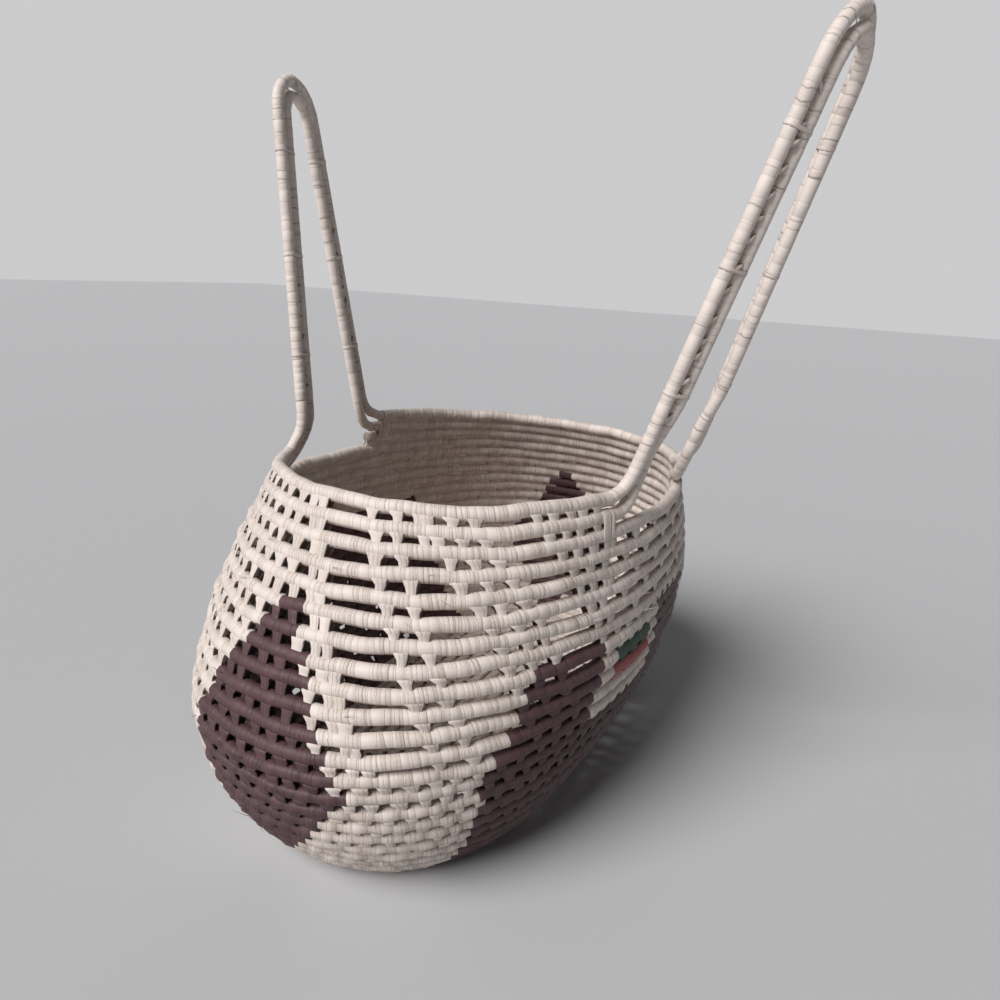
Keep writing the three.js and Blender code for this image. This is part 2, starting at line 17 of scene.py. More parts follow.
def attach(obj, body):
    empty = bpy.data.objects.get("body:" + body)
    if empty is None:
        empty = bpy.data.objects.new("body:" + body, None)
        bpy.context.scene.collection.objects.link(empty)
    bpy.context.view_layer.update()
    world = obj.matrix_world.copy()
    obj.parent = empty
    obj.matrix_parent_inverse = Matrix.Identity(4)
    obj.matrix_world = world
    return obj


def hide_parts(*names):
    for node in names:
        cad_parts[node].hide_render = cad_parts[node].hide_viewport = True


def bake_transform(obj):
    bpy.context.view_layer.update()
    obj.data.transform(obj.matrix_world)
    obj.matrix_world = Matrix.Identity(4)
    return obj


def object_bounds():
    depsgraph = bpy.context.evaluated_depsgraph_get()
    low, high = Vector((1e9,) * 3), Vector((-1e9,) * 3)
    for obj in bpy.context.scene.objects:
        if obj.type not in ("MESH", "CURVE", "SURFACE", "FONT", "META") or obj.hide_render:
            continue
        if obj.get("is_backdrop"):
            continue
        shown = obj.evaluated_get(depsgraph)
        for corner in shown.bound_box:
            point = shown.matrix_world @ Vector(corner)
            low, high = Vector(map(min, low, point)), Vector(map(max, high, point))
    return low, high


bl_info = {
    "name": "Coiled Raffia Basket",
    "version": (1, 0, 0),
    "blender": (4, 5, 0),
    "location": "3D View > Sidebar > Basket",
    "description": "Builds a coiled raffia basket with two tall handles around its packed solids",
    "category": "Object",
}

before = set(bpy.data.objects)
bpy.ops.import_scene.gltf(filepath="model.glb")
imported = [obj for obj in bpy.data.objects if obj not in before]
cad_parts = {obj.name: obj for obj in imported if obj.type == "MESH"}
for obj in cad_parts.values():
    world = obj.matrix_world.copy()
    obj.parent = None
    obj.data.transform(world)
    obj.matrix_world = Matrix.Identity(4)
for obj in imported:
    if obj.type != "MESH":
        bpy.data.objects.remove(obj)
CAD_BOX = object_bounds()

# Wall of the basket, with the same values as the solids
COIL_DIAMETER = 0.0092
COIL_RADIUS = COIL_DIAMETER / 2
BASE_HALF_LENGTH = 0.208
BASE_HALF_WIDTH = 0.095
BELLY_HALF_LENGTH = 0.260
BELLY_HALF_WIDTH = 0.166
RIM_HALF_LENGTH = 0.179
RIM_HALF_WIDTH = 0.145
BELLY_LENGTH_HEIGHT = 0.114
BELLY_WIDTH_HEIGHT = 0.160
RIM_SHIFT = -0.015
END_SAG = 0.0115
RIM_TURN = math.radians(-2.5)
LENGTH_POWERS = (2.0, 1.33)
WIDTH_POWERS = (2.7, 1.25)
OVAL_EXPONENT = 2.2
LENGTHS = (BASE_HALF_LENGTH, BELLY_HALF_LENGTH, RIM_HALF_LENGTH)
WIDTHS = (BASE_HALF_WIDTH, BELLY_HALF_WIDTH, RIM_HALF_WIDTH)
SIDE_ANGLE = 15
BASE_STEP = 0.011
BASE_ROUNDS = 8
LOWER_ROUNDS = 7
LOWER_STEP = 0.0112
UPPER_ROUNDS = 13
UPPER_STEP = 0.0127
RIM_STEP = 0.0115
WALL_ROUNDS = LOWER_ROUNDS + UPPER_ROUNDS
LOWER_COIL_ROUNDS = 10
SEAM_ANGLE = 90
WALL_START = COIL_RADIUS + 0.1 * COIL_DIAMETER

# The base coil stops just short of the wall coil, which stops past the lashing of the far left foot
BASE_STOP = -0.0005
COIL_END = WALL_ROUNDS - 5.5 / 360

# Handles, with the same values as the solids
FOOT_ANGLES = {"near_left": 128, "far_left": 81.5, "near_right": 248, "far_right": 295}
FOOT_REACH = 0.021
FOOT_CURVE = 0.55
STRAND_STEP = 0.0104
HINGE_RISE = 0.026
HANDLE_HEIGHT = {"left": 0.251, "right": 0.287}
CROWN_RADIUS = {"left": 0.027, "right": 0.039}
LEAN = {"left": 7.6, "right": 17}
TWIST = {"left": 7, "right": -5.5}
OUTSET = {"left": -0.005, "right": 0.004}
STRAND_OUTSET = {"left": 0, "right": 0.005}
NEAR_SIGN = {"left": -1, "right": 1}
RIM_ENDS = {"near": ("near_left", "near_right"), "far": ("far_right", "far_left")}
TIES_PER_LEG = 3
TIE_PLACE = 0.6

# Handles, as they look: bends of the feet, fullness, stretches that bend, lacing, ties and lashings
LEG_CURVE = 1.3
OUTSET_RISE = 0.05
STRAND_PLUMP = {"left": 0.98, "right": 1.06}
LACE_SPACING = 0.0145
LACE_JITTER = 0.003
LACE_WIDTHS = (0.0042, 0.003, 0.0034)
LACE_SKEW = 0.012
LACE_BULK = 2.2
LACED = {"left": ((0.05, 0.2), (0.72, 0.95)), "right": ((0.06, 0.42), (0.9, 0.95))}
TIE_WIDTHS = (0.0024, 0.003)
TIE_THICKNESS = 0.00012
LASHING_BANDS = 3
LASHING_WIDTHS = (0.003, 0.0055)
LASHING_THICKNESS = 0.0002
BINDING_LEAN = 0.06
BINDING_UNEVENNESS = 0.0001
BINDING_OVERLAP = 1.04
BINDING_RUN = 0.06
BINDING_SIDES = ((-0.5, 0.0), (-0.36, 1.0), (0.36, 1.0), (0.5, 0.0))

# Fineness of the meshes
TUBE_SIDES = 8
LINE_STEPS_PER_TURN = 720
LINE_STEP = 0.0015
BINDING_STEPS = 8
LEG_STEPS = 120
CROWN_STEPS = 61
FOOT_STEPS = 40
CORE_STEPS = 100
BEND_STEPS = 16
BASE_STEPS_PER_TURN = 400
BELLY_STEPS = 1441
EASING_PASSES = 6

# Wrapped strips: reach of the groove between two, how far they slant, how deep the groove is and how much
# shade is painted at the strip edges, and how worn they are
SHOULDER = 0.00024
SHOULDER_SHARE = 0.25
WRAP_WIDTHS = (0.55, 0.8, 1.0, 1.25, 1.6)
WRAP_SPREAD = (0.85, 1.15)
WRAP_SURPLUS = 2.2
LAST_WRAP_SHARE = 0.4
WALL_SLANT = 0.1
HANDLE_SLANT = 0.15
SLANT_SPREAD = 0.07
WALL_EDGE = 1.0
HANDLE_EDGE = 0.75
BINDING_EDGE = 0.3
HANDLE_GRAIN = 0.35
HANDLE_WEAR = 0.5
END_REACH = 0.001
END_TONE = 0.5

# Hand work: each round wanders a little up and down and in and out
SWAY_RATES = np.array([5.3, 8.9, 14.7, 23.3, 37.1])
SWAY_SIZES = np.array([0.00045, 0.0004, 0.0003, 0.0002, 0.00015])
SWAY_SPREAD = 1.7
RISE_PHASE = 0.3
SIDE_PHASE = 2.1
TIGHT_SWAY = 0.4
LOOSE_ROUND = 5

# Fullness of the coil, as shares of its radius, and the turns over which it changes
UPPER_PLUMP = 1.09
LOWER_PLUMP = 1.15
LOWER_FADE = (10, 4)
TIGHT_PLUMP = 1.23
TIGHT_RISE = (0.1, 0.5)
TIGHT_FADE = (8, 2)
FAR_PLUMP = 1.22
FAR_RISE = 0.5
FAR_FADE = 0.2
STRIPE_PLUMP = 1.3
STRIPE_FADE = 0.006

# How far a stitch draws in the coil, as shares of its radius, and how much shade is painted into the dip
# there
OPEN_SQUEEZE = 0.985
TIGHT_SQUEEZE = 0.8
SQUEEZE_FADE = (12, 4)
SQUEEZE_REACH = 0.0048
NOTCH_SHADE = 3.5

# Finishes, in the order of the material slots of each piece
NATURAL, PLUM, GREEN, RED = range(4)

# Dyed motifs: their middles are angles on the wall, their widths lengths along the belly at one height
BELLY_HEIGHT = 0.150
END_MOTIFS = (177.5, 4.5)
SIDE_MOTIFS = (260.0, 88.0)
STRIPE_MOTIF = 258.5
END_TOP_ROW = 16
SIDE_TOP_ROW = 13
WIDEST_ROW = 8
END_TOP_HALF = 0.009
END_GROWTH = 0.0074
SIDE_TOP_HALF = 0.116
SIDE_GROWTH = 0.0045
END_SHRINK = 0.009
SIDE_SHRINK = -0.001
RAGGED_EDGE = 0.0012
STRIPE_HALF = 0.044
STRIPE_COLOUR_HALF = 0.029
STRIPE_TOP_ROW = 13
STRIPE_BOTTOM_ROW = 9
GREEN_ROW = 12
RED_ROW = 11

# Columns of stitches in the open and in the sparse part, as lengths along the belly from the far end
OPEN_START = 0.65
OPEN_LOWEST_ROW = 9
COLUMN_SHIFT = 0.0082
FIRST_WINDOW = 0.044
SECOND_WINDOW = 0.042
SECOND_SHIFT = 0.0045
SECOND_SHARE = (0.45, 0.11)
THIRD_STITCH_ROWS = 2
PAIR_STEP = 0.019
TRIPLE_STEP = 0.0172
LAST_WINDOW = 0.041
SPARSE_START = 0.905
SPARSE_STOP = 1.12
SPARSE_SPACING = 0.037
SPARSE_LOWEST_ROW = 14

# Sewing in the rest of the wall, at the rim, under the base and at its edge
UPPER_SPACING = 0.0158
TIGHT_SPACING = 0.0145
CLOSE_SPACING = 0.0165
BASE_SPACING = 0.016
EDGE_SPACING = 0.0085
EDGE_WIDTH = 0.0115
CLOSE_TOP_SHARE = 0.85
TIGHT_ROWS = (5, 4)
RIM_SHARE = 0.95
RIM_STITCH_REACH = -0.004
ROW_OFFSET = 0.47
PLACE_JITTER = 0.0012

# The wall whose outside faces away, sewn closest: its middle in degrees, its reach and its stitches
FAR_ANGLE = 25
FAR_COSINE = -0.17
FAR_WAIST = 0.0172
FAR_DEPTH = 0.3

# Stray fibres
FIBRES_PER_ROUND = 6
FIBRE_STEPS = 6
FIBRE_SIDES = 3
FIBRE_FIRST_ROUND = 3
FIBRE_START = 0.95
FIBRE_TILT = 0.9
FIBRE_LENGTHS = (0.006, 0.017)
FIBRE_RUNS = (0.5, 1.0)
FIBRE_RISES = (0.25, 0.8)
FIBRE_LIFTS = (-0.7, 0.6)
FIBRE_WIDTHS = (0.00025, 0.0005)
FIBRE_TAPER = 0.8
FIBRE_RIDGE = 0.5
FIBRE_SAG = 0.4
FIBRE_GRAIN = 0.31
FIBRE_TONE = 0.4

# Stitches: their path round the coil, in degrees and in shares of its radius, and their cross-section
STITCH_BEND = (38, 70, 105, 145, 180, 215, 255, 290, 322)
STITCH_GAP_ACROSS = (0.68, 0.68, 0.62)
STITCH_GAP_DOWN = (0.74, 1.0)
STITCH_TOP = 0.3
STITCH_FLARE = (0.88, 0.3)
STITCH_LEAN = (-0.1, -0.08, -0.02)
STITCH_PROUD = (0.4, 1.0, 1.0, 0.5)
STITCH_BULKS = (0.7, 1.0, 1.5)
STITCH_SPREAD = (0.82, 1.15)
STITCH_SLOPES = (0.3, 1.0)
STITCH_WANDER = 0.0003
STITCH_RUN = 0.04
STITCH_OFFSET = 0.37
STITCH_MIDDLE = 0.3
WALL_SKEW = 0.0008
BAND_PROUD = 0.2
# Share of shade painted along the edges of a stitch where it wraps the lower coil
BAND_SEAM = 0.5
BAND_DEPTH = 0.84
STRIP_PROFILE = ((-0.5, False), (-0.42, True), (0.42, True), (0.5, False))
STRIP_SINK = 0.0003

# Grain of the raffia: scales of its noises, middle and share of each in the colour, the painted seam shade
# and split lines, and the bump
FIBRE_SCALE = (1500, 90, 40)
BLOTCH_SCALE = (60, 45, 40)
HAIRLINE_SCALE = 340
HAIRLINE_WIDTHS = (0.015, 0.09)
HAIRLINE_WANDER = 0.0012
WANDER_SCALE = (50, 120, 40)
DEPTH_SCALE = (120, 60, 40)
WORN_TONES = (0.2, 0.45)
SPLIT_DEPTH = 1.5
FIBRE_SHARE = (0.35, 1.1)
TONE_SHARE = (0.55, 0.5)
BLOTCH_SHARE = (0.5, 0.9)
# Painted shade in the seams: how steeply and how strongly it darkens the colour
SEAM_SHADE_POWER = 1.6
SEAM_SHADE = 0.85
HAIRLINE_DIRT = 0.75
LEAST_ROUGHNESS = 0.4
FIBRE_ROUGHNESS = 0.3
BLOTCH_HEIGHT = 0.6
HAIRLINE_HEIGHT = 0.8
BUMP_STRENGTH = 0.5
BUMP_DISTANCE = 0.0004
SPECULAR_LEVEL = 0.4

# Fibres of the finishes, and the colour of the shade painted into their seams, as shares of their colours
NATURAL_SEAM_SHADE = 0.28
PLUM_FIBRE = 0.55
STRIPE_FIBRE = 0.6
DYED_SEAM_SHADE = 0.2

# Stage, with the camera where the photograph was taken from
FLOOR_REACH = 9.0
FLOOR_ROUGHNESS = 0.6
FILL_COLOUR = (0.97, 0.98, 1.0, 1)
KEY_FROM = (-0.68, 0.25, 0.69)
CAMERA_PLACE = (-0.549, -0.296, 0.407)
CAMERA_HEADING = math.atan2(0.442, 0.897)
CAMERA_PITCH = math.radians(16.95)
CAMERA_ROLL = math.atan(0.0564)
CAMERA_LENS = 27.04
CAMERA_SENSOR = 36.0
CAMERA_CLIP = 0.01

UP = np.array([0.0, 0.0, 1.0])
RNG_SEED = 20


def unit(vectors):
    """Vectors of length one."""
    return vectors / np.linalg.norm(vectors, axis=-1, keepdims=True)


def run_lengths(points):
    """Length along a line at each of its points."""
    steps = np.linalg.norm(np.diff(points, axis=0), axis=1)
    return np.concatenate([[0], np.cumsum(steps)])


def read_points(at, lengths, points):
    """Points of a line at lengths along it."""
    return np.stack([np.interp(at, lengths, points[:, k]) for k in range(3)], -1)


def smoothstep(values):
    held = np.clip(values, 0, 1)
    return held * held * (3 - 2 * held)


# Shape of the wall


def wall_height(turn):
    lower = np.minimum(turn, LOWER_ROUNDS) * LOWER_STEP
    upper = np.maximum(0, turn - LOWER_ROUNDS) * UPPER_STEP
    return WALL_START + lower + upper


RIM_LEVEL = wall_height(WALL_ROUNDS - 0.5) + 2 * RIM_STEP


def bulge(height, halves, belly_height, powers):
    """Half the length or the width of the wall at a height, from those at base, belly and rim."""
    bottom, belly, top = halves
    down = np.clip((belly_height - height) / (belly_height - WALL_START), 0, 1)
    up = np.maximum(0, (height - belly_height) / (RIM_LEVEL - belly_height))
    lower = belly - (belly - bottom) * down ** powers[0]
    upper = belly - (belly - top) * up ** powers[1]
    return np.where(height < belly_height, lower, upper)


def stadium_point(degrees, straight, radius):
    """A long oval with straight sides and half round ends."""
    turned = np.mod(degrees, 360)
    mirrored = np.where(turned > 180, 360 - turned, turned)
    from_end = np.where(mirrored > 90, 180 - mirrored, mirrored)
    end_sign = np.where(mirrored > 90, -1, 1)
    side_sign = np.where(turned > 180, -1, 1)
    bend = 90 - SIDE_ANGLE
    angle = np.minimum(from_end, bend) / bend * (math.pi / 2)
    on_end = from_end <= bend
    x = np.where(on_end, straight + radius * np.cos(angle), straight * (90 - from_end) / SIDE_ANGLE)
    y = np.where(on_end, radius * np.sin(angle), radius)
    return end_sign * x, side_sign * y


def wall_point(degrees, height):
    """The middle of the coil at an angle and a height of the wall."""
    degrees, height = np.broadcast_arrays(np.asarray(degrees, float), np.asarray(height, float))
    half_length = bulge(height, LENGTHS, BELLY_LENGTH_HEIGHT, LENGTH_POWERS)
    half_width = bulge(height, WIDTHS, BELLY_WIDTH_HEIGHT, WIDTH_POWERS)
    long_x, long_y = stadium_point(degrees, half_length - half_width, half_width)
    c = np.cos(np.radians(degrees))
    s = np.sin(np.radians(degrees))
    oval_x = half_length * np.sign(c) * np.abs(c) ** (2 / OVAL_EXPONENT)
    oval_y = half_width * np.sign(s) * np.abs(s) ** (2 / OVAL_EXPONENT)
    rounding = smoothstep((height - WALL_START) / (BELLY_LENGTH_HEIGHT - WALL_START))
    x = long_x + (oval_x - long_x) * rounding
    y = long_y + (oval_y - long_y) * rounding
    slump = np.maximum(0, (height - BELLY_LENGTH_HEIGHT) / (RIM_LEVEL - BELLY_LENGTH_HEIGHT))
    turned = RIM_TURN * slump
    turned_x = x * np.cos(turned) - y * np.sin(turned)
    turned_y = x * np.sin(turned) + y * np.cos(turned) + RIM_SHIFT * slump
    sag = END_SAG * (slump * (1 + c) / 2) ** 2
    return np.stack([turned_x, turned_y, height - sag], -1)


def wall_normal(degrees, height):
    along = wall_point(degrees + 0.5, height) - wall_point(degrees - 0.5, height)
    upward = wall_point(degrees, height + 0.0005) - wall_point(degrees, height - 0.0005)
    return unit(np.cross(along, upward))


def turn_angle(turn):
    return SEAM_ANGLE + 360 * turn


def sway(turn, phase):
    spread = SWAY_SPREAD * np.arange(SWAY_RATES.size) ** 2
    waves = np.sin(2 * math.pi * SWAY_RATES * turn[..., None] + phase + spread)
    return waves @ SWAY_SIZES


def coil_point(turn, rim_round=0):
    """The middle of the hand laid coil at a turn; rim rounds 1 and 2 lie above the last whole round."""
    turn = np.asarray(turn, float)
    loose = TIGHT_SWAY + (1 - TIGHT_SWAY) * smoothstep((turn - LOOSE_ROUND) / LOOSE_ROUND)
    degrees = turn_angle(turn)
    height = wall_height(turn) + rim_round * RIM_STEP + loose * sway(turn, RISE_PHASE + rim_round)
    height = np.maximum(height, WALL_START)
    aside = loose * sway(turn, SIDE_PHASE + rim_round)
    return wall_point(degrees, height) + wall_normal(degrees, height) * aside[..., None]


def coil_normal(turn, rim_round=0):
    turn = np.asarray(turn, float)
    return wall_normal(turn_angle(turn), wall_height(turn) + rim_round * RIM_STEP)


def coil_direction(turn, rim_round=0):
    turn = np.asarray(turn, float)
    return unit(coil_point(turn + 0.001, rim_round) - coil_point(turn - 0.001, rim_round))


class Line:
    """A line that a coil follows, with its outward side and the length along it."""

    def __init__(self, points, outward):
        self.points = points
        self.lengths = run_lengths(points)
        self.outward = outward
        self.directions = unit(np.gradient(points, axis=0))

    @property
    def total(self):
        return self.lengths[-1]

    def read(self, values, lengths):
        return read_points(lengths, self.lengths, values)

    def at(self, lengths):
        """Middle, direction, outward side and third direction at lengths along the line."""
        middle = self.read(self.points, lengths)
        direction = unit(self.read(self.directions, lengths))
        outward = self.read(self.outward, lengths)
        outward = unit(outward - direction * np.sum(outward * direction, -1, keepdims=True))
        return middle, direction, outward, np.cross(direction, outward)


class Skin:
    """Gathers the faces of one piece, with what its raffia finish reads from them."""

    def __init__(self):
        self.count = 0
        self.verts = []
        self.quads = []
        self.triangles = []
        self.strip = []
        self.seam = []
        self.quad_tone = []
        self.triangle_tone = []
        self.quad_finish = []
        self.triangle_finish = []

    def add(self, verts, strip, seam, quads, tone, finish):
        self.verts.append(verts)
        self.strip.append(strip)
        self.seam.append(seam)
        self.quads.append(quads + self.count)
        self.quad_tone.append(tone)
        self.quad_finish.append(finish)
        self.count += len(verts)

    def add_triangles(self, triangles, tone, finish):
        """Triangles between corners that are already there, by their own numbers."""
        self.triangles.append(triangles)
        self.triangle_tone.append(np.full(len(triangles), tone))
        self.triangle_finish.append(np.full(len(triangles), finish))

    def piece(self, name, materials):
        faces = np.concatenate(self.quads).tolist()
        tone = np.concatenate(self.quad_tone + self.triangle_tone)
        finish = np.concatenate(self.quad_finish + self.triangle_finish)
        for triangles in self.triangles:
            faces += triangles.tolist()
        mesh = bpy.data.meshes.new(name)
        mesh.from_pydata(np.concatenate(self.verts).tolist(), [], faces)
        for material in materials:
            mesh.materials.append(material)
        mesh.polygons.foreach_set("material_index", finish.astype(np.int32))
        mesh.polygons.foreach_set("use_smooth", np.ones(len(faces), bool))
        strip = mesh.attributes.new("strip", "FLOAT_VECTOR", "POINT")
        strip.data.foreach_set("vector", np.concatenate(self.strip).astype(np.float32).ravel())
        seam = mesh.attributes.new("seam", "FLOAT", "POINT")
        seam.data.foreach_set("value", np.concatenate(self.seam).astype(np.float32))
        shade = mesh.attributes.new("tone", "FLOAT", "FACE")
        shade.data.foreach_set("value", tone.astype(np.float32))
        mesh.update()
        return placed(name, mesh)


def placed(name, data):
    """A new object in the scene."""
    obj = bpy.data.objects.new(name, data)
    bpy.context.scene.collection.objects.link(obj)
    return obj


def tube_quads(rings, sides):
    """Faces of an open tube, ring by ring."""
    first = np.arange(rings - 1)[:, None] * sides
    ahead = first + sides
    side = np.arange(sides)
    after = (side + 1) % sides
    return np.stack([first + side, first + after, ahead + after, ahead + side], -1).reshape(-1, 4)


def wrap_edges(total, mean, rng):
    """Lengths along a line at which one wrapped strip ends and the next begins."""
    widths = mean * rng.choice(WRAP_WIDTHS, int(WRAP_SURPLUS * total / mean) + 4)
    widths *= rng.uniform(*WRAP_SPREAD, widths.size)
    edges = np.concatenate([[0], np.cumsum(widths)])
    edges = edges[edges < total - LAST_WRAP_SHARE * mean]
    return np.concatenate([edges, [total]])


def wrapped_tube(
    skin, line, rng, wrap, finish_at, size=None, slant=WALL_SLANT, pinch=None, notch=None,
    grain=1.0, edge=WALL_EDGE, wear=1.0,
):
    """A coil wrapped strip by strip: each strip is flat across and meets the next in a groove."""
    edges = wrap_edges(line.total, wrap.width if size is None else size, rng)
    unevenness = wrap.unevenness
    widths = np.diff(edges)
    count = len(widths)
    shoulder = np.minimum(SHOULDER, SHOULDER_SHARE * widths)
    lift = rng.normal(0, unevenness, count)
    lean = slant + rng.normal(0, SLANT_SPREAD, count + 1)
    stations = np.stack([edges[:-1], edges[:-1] + shoulder, edges[1:] - shoulder], -1).ravel()
    stations = np.append(stations, line.total)
    groove = edge * wrap.groove
    radii = np.stack([lift - groove, lift, lift + rng.normal(0, unevenness, count)], -1)
    radii = COIL_RADIUS + np.append(radii.ravel(), -groove)
    if pinch is not None:
        radii = radii * pinch(stations)
    # Painted shade: each groove ring gets the edge's share of seam shade, darkening the colour where
    # strips meet
    seam = edge * np.append(np.tile([1.0, 0.0, 0.0], count), 1.0)
    # Painted shade in the dips where stitches draw the coil in
    if notch is not None:
        seam = np.maximum(seam, notch(stations))
    lean = np.append(np.stack([lean[:-1], lean[:-1], lean[1:]], -1).ravel(), lean[-1])
    middle, direction, outward, third = line.at(stations)
    angles = 2 * math.pi * np.arange(TUBE_SIDES) / TUBE_SIDES
    cosine, sine = np.cos(angles), np.sin(angles)
    reach = radii[:, None]
    verts = middle[:, None] + (reach * cosine)[..., None] * outward[:, None]
    verts = verts + (reach * sine)[..., None] * third[:, None]
    verts = verts + (reach * sine * lean[:, None])[..., None] * direction[:, None]
    strip = np.stack(np.broadcast_arrays(grain * stations[:, None], COIL_RADIUS * angles, 0.0), -1)
    rings = len(stations)
    quads = tube_quads(rings, TUBE_SIDES)
    finish = finish_at(0.5 * (edges[:-1] + edges[1:]))
    tone = rng.uniform(0, wear, count)
    faces = np.repeat(np.arange(count), 3 * TUBE_SIDES)
    start = skin.count
    seam = np.repeat(seam, TUBE_SIDES)
    skin.add(verts.reshape(-1, 3), strip.reshape(-1, 3), seam, quads, tone[faces], finish[faces])
    ends = np.stack([middle[0] - END_REACH * direction[0], middle[-1] + END_REACH * direction[-1]])
    close_ends(skin, ends, start, start + (rings - 1) * TUBE_SIDES, finish[[0, -1]])


def close_ends(skin, ends, first_ring, last_ring, finish):
    """Closes both ends of a tube with a low cone."""
    tips = np.array([skin.count, skin.count + 1])
    # The tips carry the full seam shade, so shade is painted over the end cones
    skin.add(ends, np.zeros((2, 3)), np.ones(2), np.zeros((0, 4), int), np.zeros(0), np.zeros(0, int))
    side = np.arange(TUBE_SIDES)
    after = (side + 1) % TUBE_SIDES
    start = np.stack([np.full(TUBE_SIDES, tips[0]), first_ring + after, first_ring + side], -1)
    stop = np.stack([np.full(TUBE_SIDES, tips[1]), last_ring + side, last_ring + after], -1)
    skin.add_triangles(start, END_TONE, finish[0])
    skin.add_triangles(stop, END_TONE, finish[1])


# Stitches


def stitch_loops(
    skin, low, high, direction, rng, sizes, finish, squeeze, skew=WALL_SKEW, depth=1.0, bulk=1.0
):
    """One loop of raffia for each stitch: round the low coil and up into the coil above."""
    count = len(low)
    rise = high - low
    rise = rise - direction * np.sum(rise * direction, -1, keepdims=True)
    distance = np.linalg.norm(rise, axis=-1)
    upward = rise / distance[:, None]
    outward = np.cross(direction, upward)
    grip = (BAND_DEPTH * COIL_RADIUS * squeeze)[:, None]
    bend = np.radians(STITCH_BEND)
    gap_across = np.broadcast_to(depth, count)[:, None] * COIL_RADIUS * np.array(STITCH_GAP_ACROSS)
    gap_down = COIL_RADIUS * np.array(STITCH_GAP_DOWN)
    gap_along = np.stack([distance - gap_down[0], distance - gap_down[1], 0.5 * distance], -1)
    across = [gap_across, grip * np.sin(bend), -gap_across[:, ::-1], np.zeros((count, 1))]
    across = np.concatenate(across, 1)
    top = (distance - STITCH_TOP * COIL_RADIUS)[:, None]
    along = np.concatenate([gap_along, grip * np.cos(bend), gap_along[:, ::-1], top], 1)
    steps = across.shape[1]
    top_width, waist, band = (np.broadcast_to(size, count)[:, None] for size in sizes)
    shoulder, share = STITCH_FLARE
    flare = [top_width, shoulder * top_width, share * top_width + (1 - share) * waist, waist]
    widths = np.concatenate(flare + [band] * (steps - 9) + flare[::-1] + [top_width], 1)
    widths = widths * rng.uniform(*STITCH_SPREAD, (count, 1))
    lean = np.zeros(steps)
    lean[:3] = STITCH_LEAN
    lean[-4:-1] = STITCH_LEAN[::-1]
    lean[-1] = STITCH_LEAN[0]
    shift = lean * top_width + rng.normal(0, STITCH_WANDER, (count, steps))
    slope = rng.choice([-1, 1], count) * rng.uniform(*STITCH_SLOPES, count) * skew
    shift = shift + slope[:, None] * (along / distance[:, None] - 0.5)
    proud = np.full(steps, BAND_PROUD)
    proud[:4] = STITCH_PROUD
    proud[-5:-1] = STITCH_PROUD[::-1]
    proud = proud * bulk * stitch_thickness() * rng.choice(STITCH_BULKS, count)[:, None]
    path = np.stack([across, along], -1)
    step = np.roll(path, -1, 1) - np.roll(path, 1, 1)
    face = unit(np.stack([step[..., 1], -step[..., 0]], -1))
    inside = np.array([0, 1]) * (STITCH_MIDDLE * distance)[:, None, None]
    face *= np.sign(np.sum(face * (path - inside), -1, keepdims=True))
    offset = np.arange(count)[:, None] * STITCH_OFFSET
    corners = []
    coords = []
    for place, high_side in STRIP_PROFILE:
        height = proud if high_side else np.full((1, 1), -STRIP_SINK)
        spot = path + face * height[..., None]
        sideways = shift + place * widths
        point = low[:, None] + spot[..., :1] * outward[:, None] + spot[..., 1:] * upward[:, None]
        corners.append(point + sideways[..., None] * direction[:, None])
        lengths = np.linspace(0, STITCH_RUN, steps) + rng.uniform(0, 9)
        coords.append(np.stack(np.broadcast_arrays(place * widths, lengths, offset), -1))
    verts = np.stack(corners, 2)
    strip = np.stack(coords, 2)
    quads = (np.arange(count) * 4 * steps)[:, None, None] + loop_quads(steps)
    # Painted shade along both edges of each stitch: full at the neck, lighter where it wraps the lower
    # coil
    edge = np.where((np.arange(steps) > 3) & (np.arange(steps) < steps - 5), BAND_SEAM, 1.0)
    seam = np.tile(np.outer(edge, [1.0, 0.0, 0.0, 1.0]).ravel(), count)
    tone = np.repeat(rng.uniform(0, 1, count), 4 * steps)
    finish = np.repeat(finish, 4 * steps)
    skin.add(verts.reshape(-1, 3), strip.reshape(-1, 3), seam, quads.reshape(-1, 4), tone, finish)


def loop_quads(steps):
    """Faces of a closed band with four corners to each of its sections."""
    here = np.arange(steps)[:, None] * 4
    ahead = (np.arange(steps)[:, None] + 1) % steps * 4
    corner = np.arange(4)
    beside = (corner + 1) % 4
    return np.stack([here + corner, ahead + corner, ahead + beside, here + beside], -1).reshape(-1, 4)


def stitch_thickness():
    return bpy.context.scene.basket_stitches.thickness


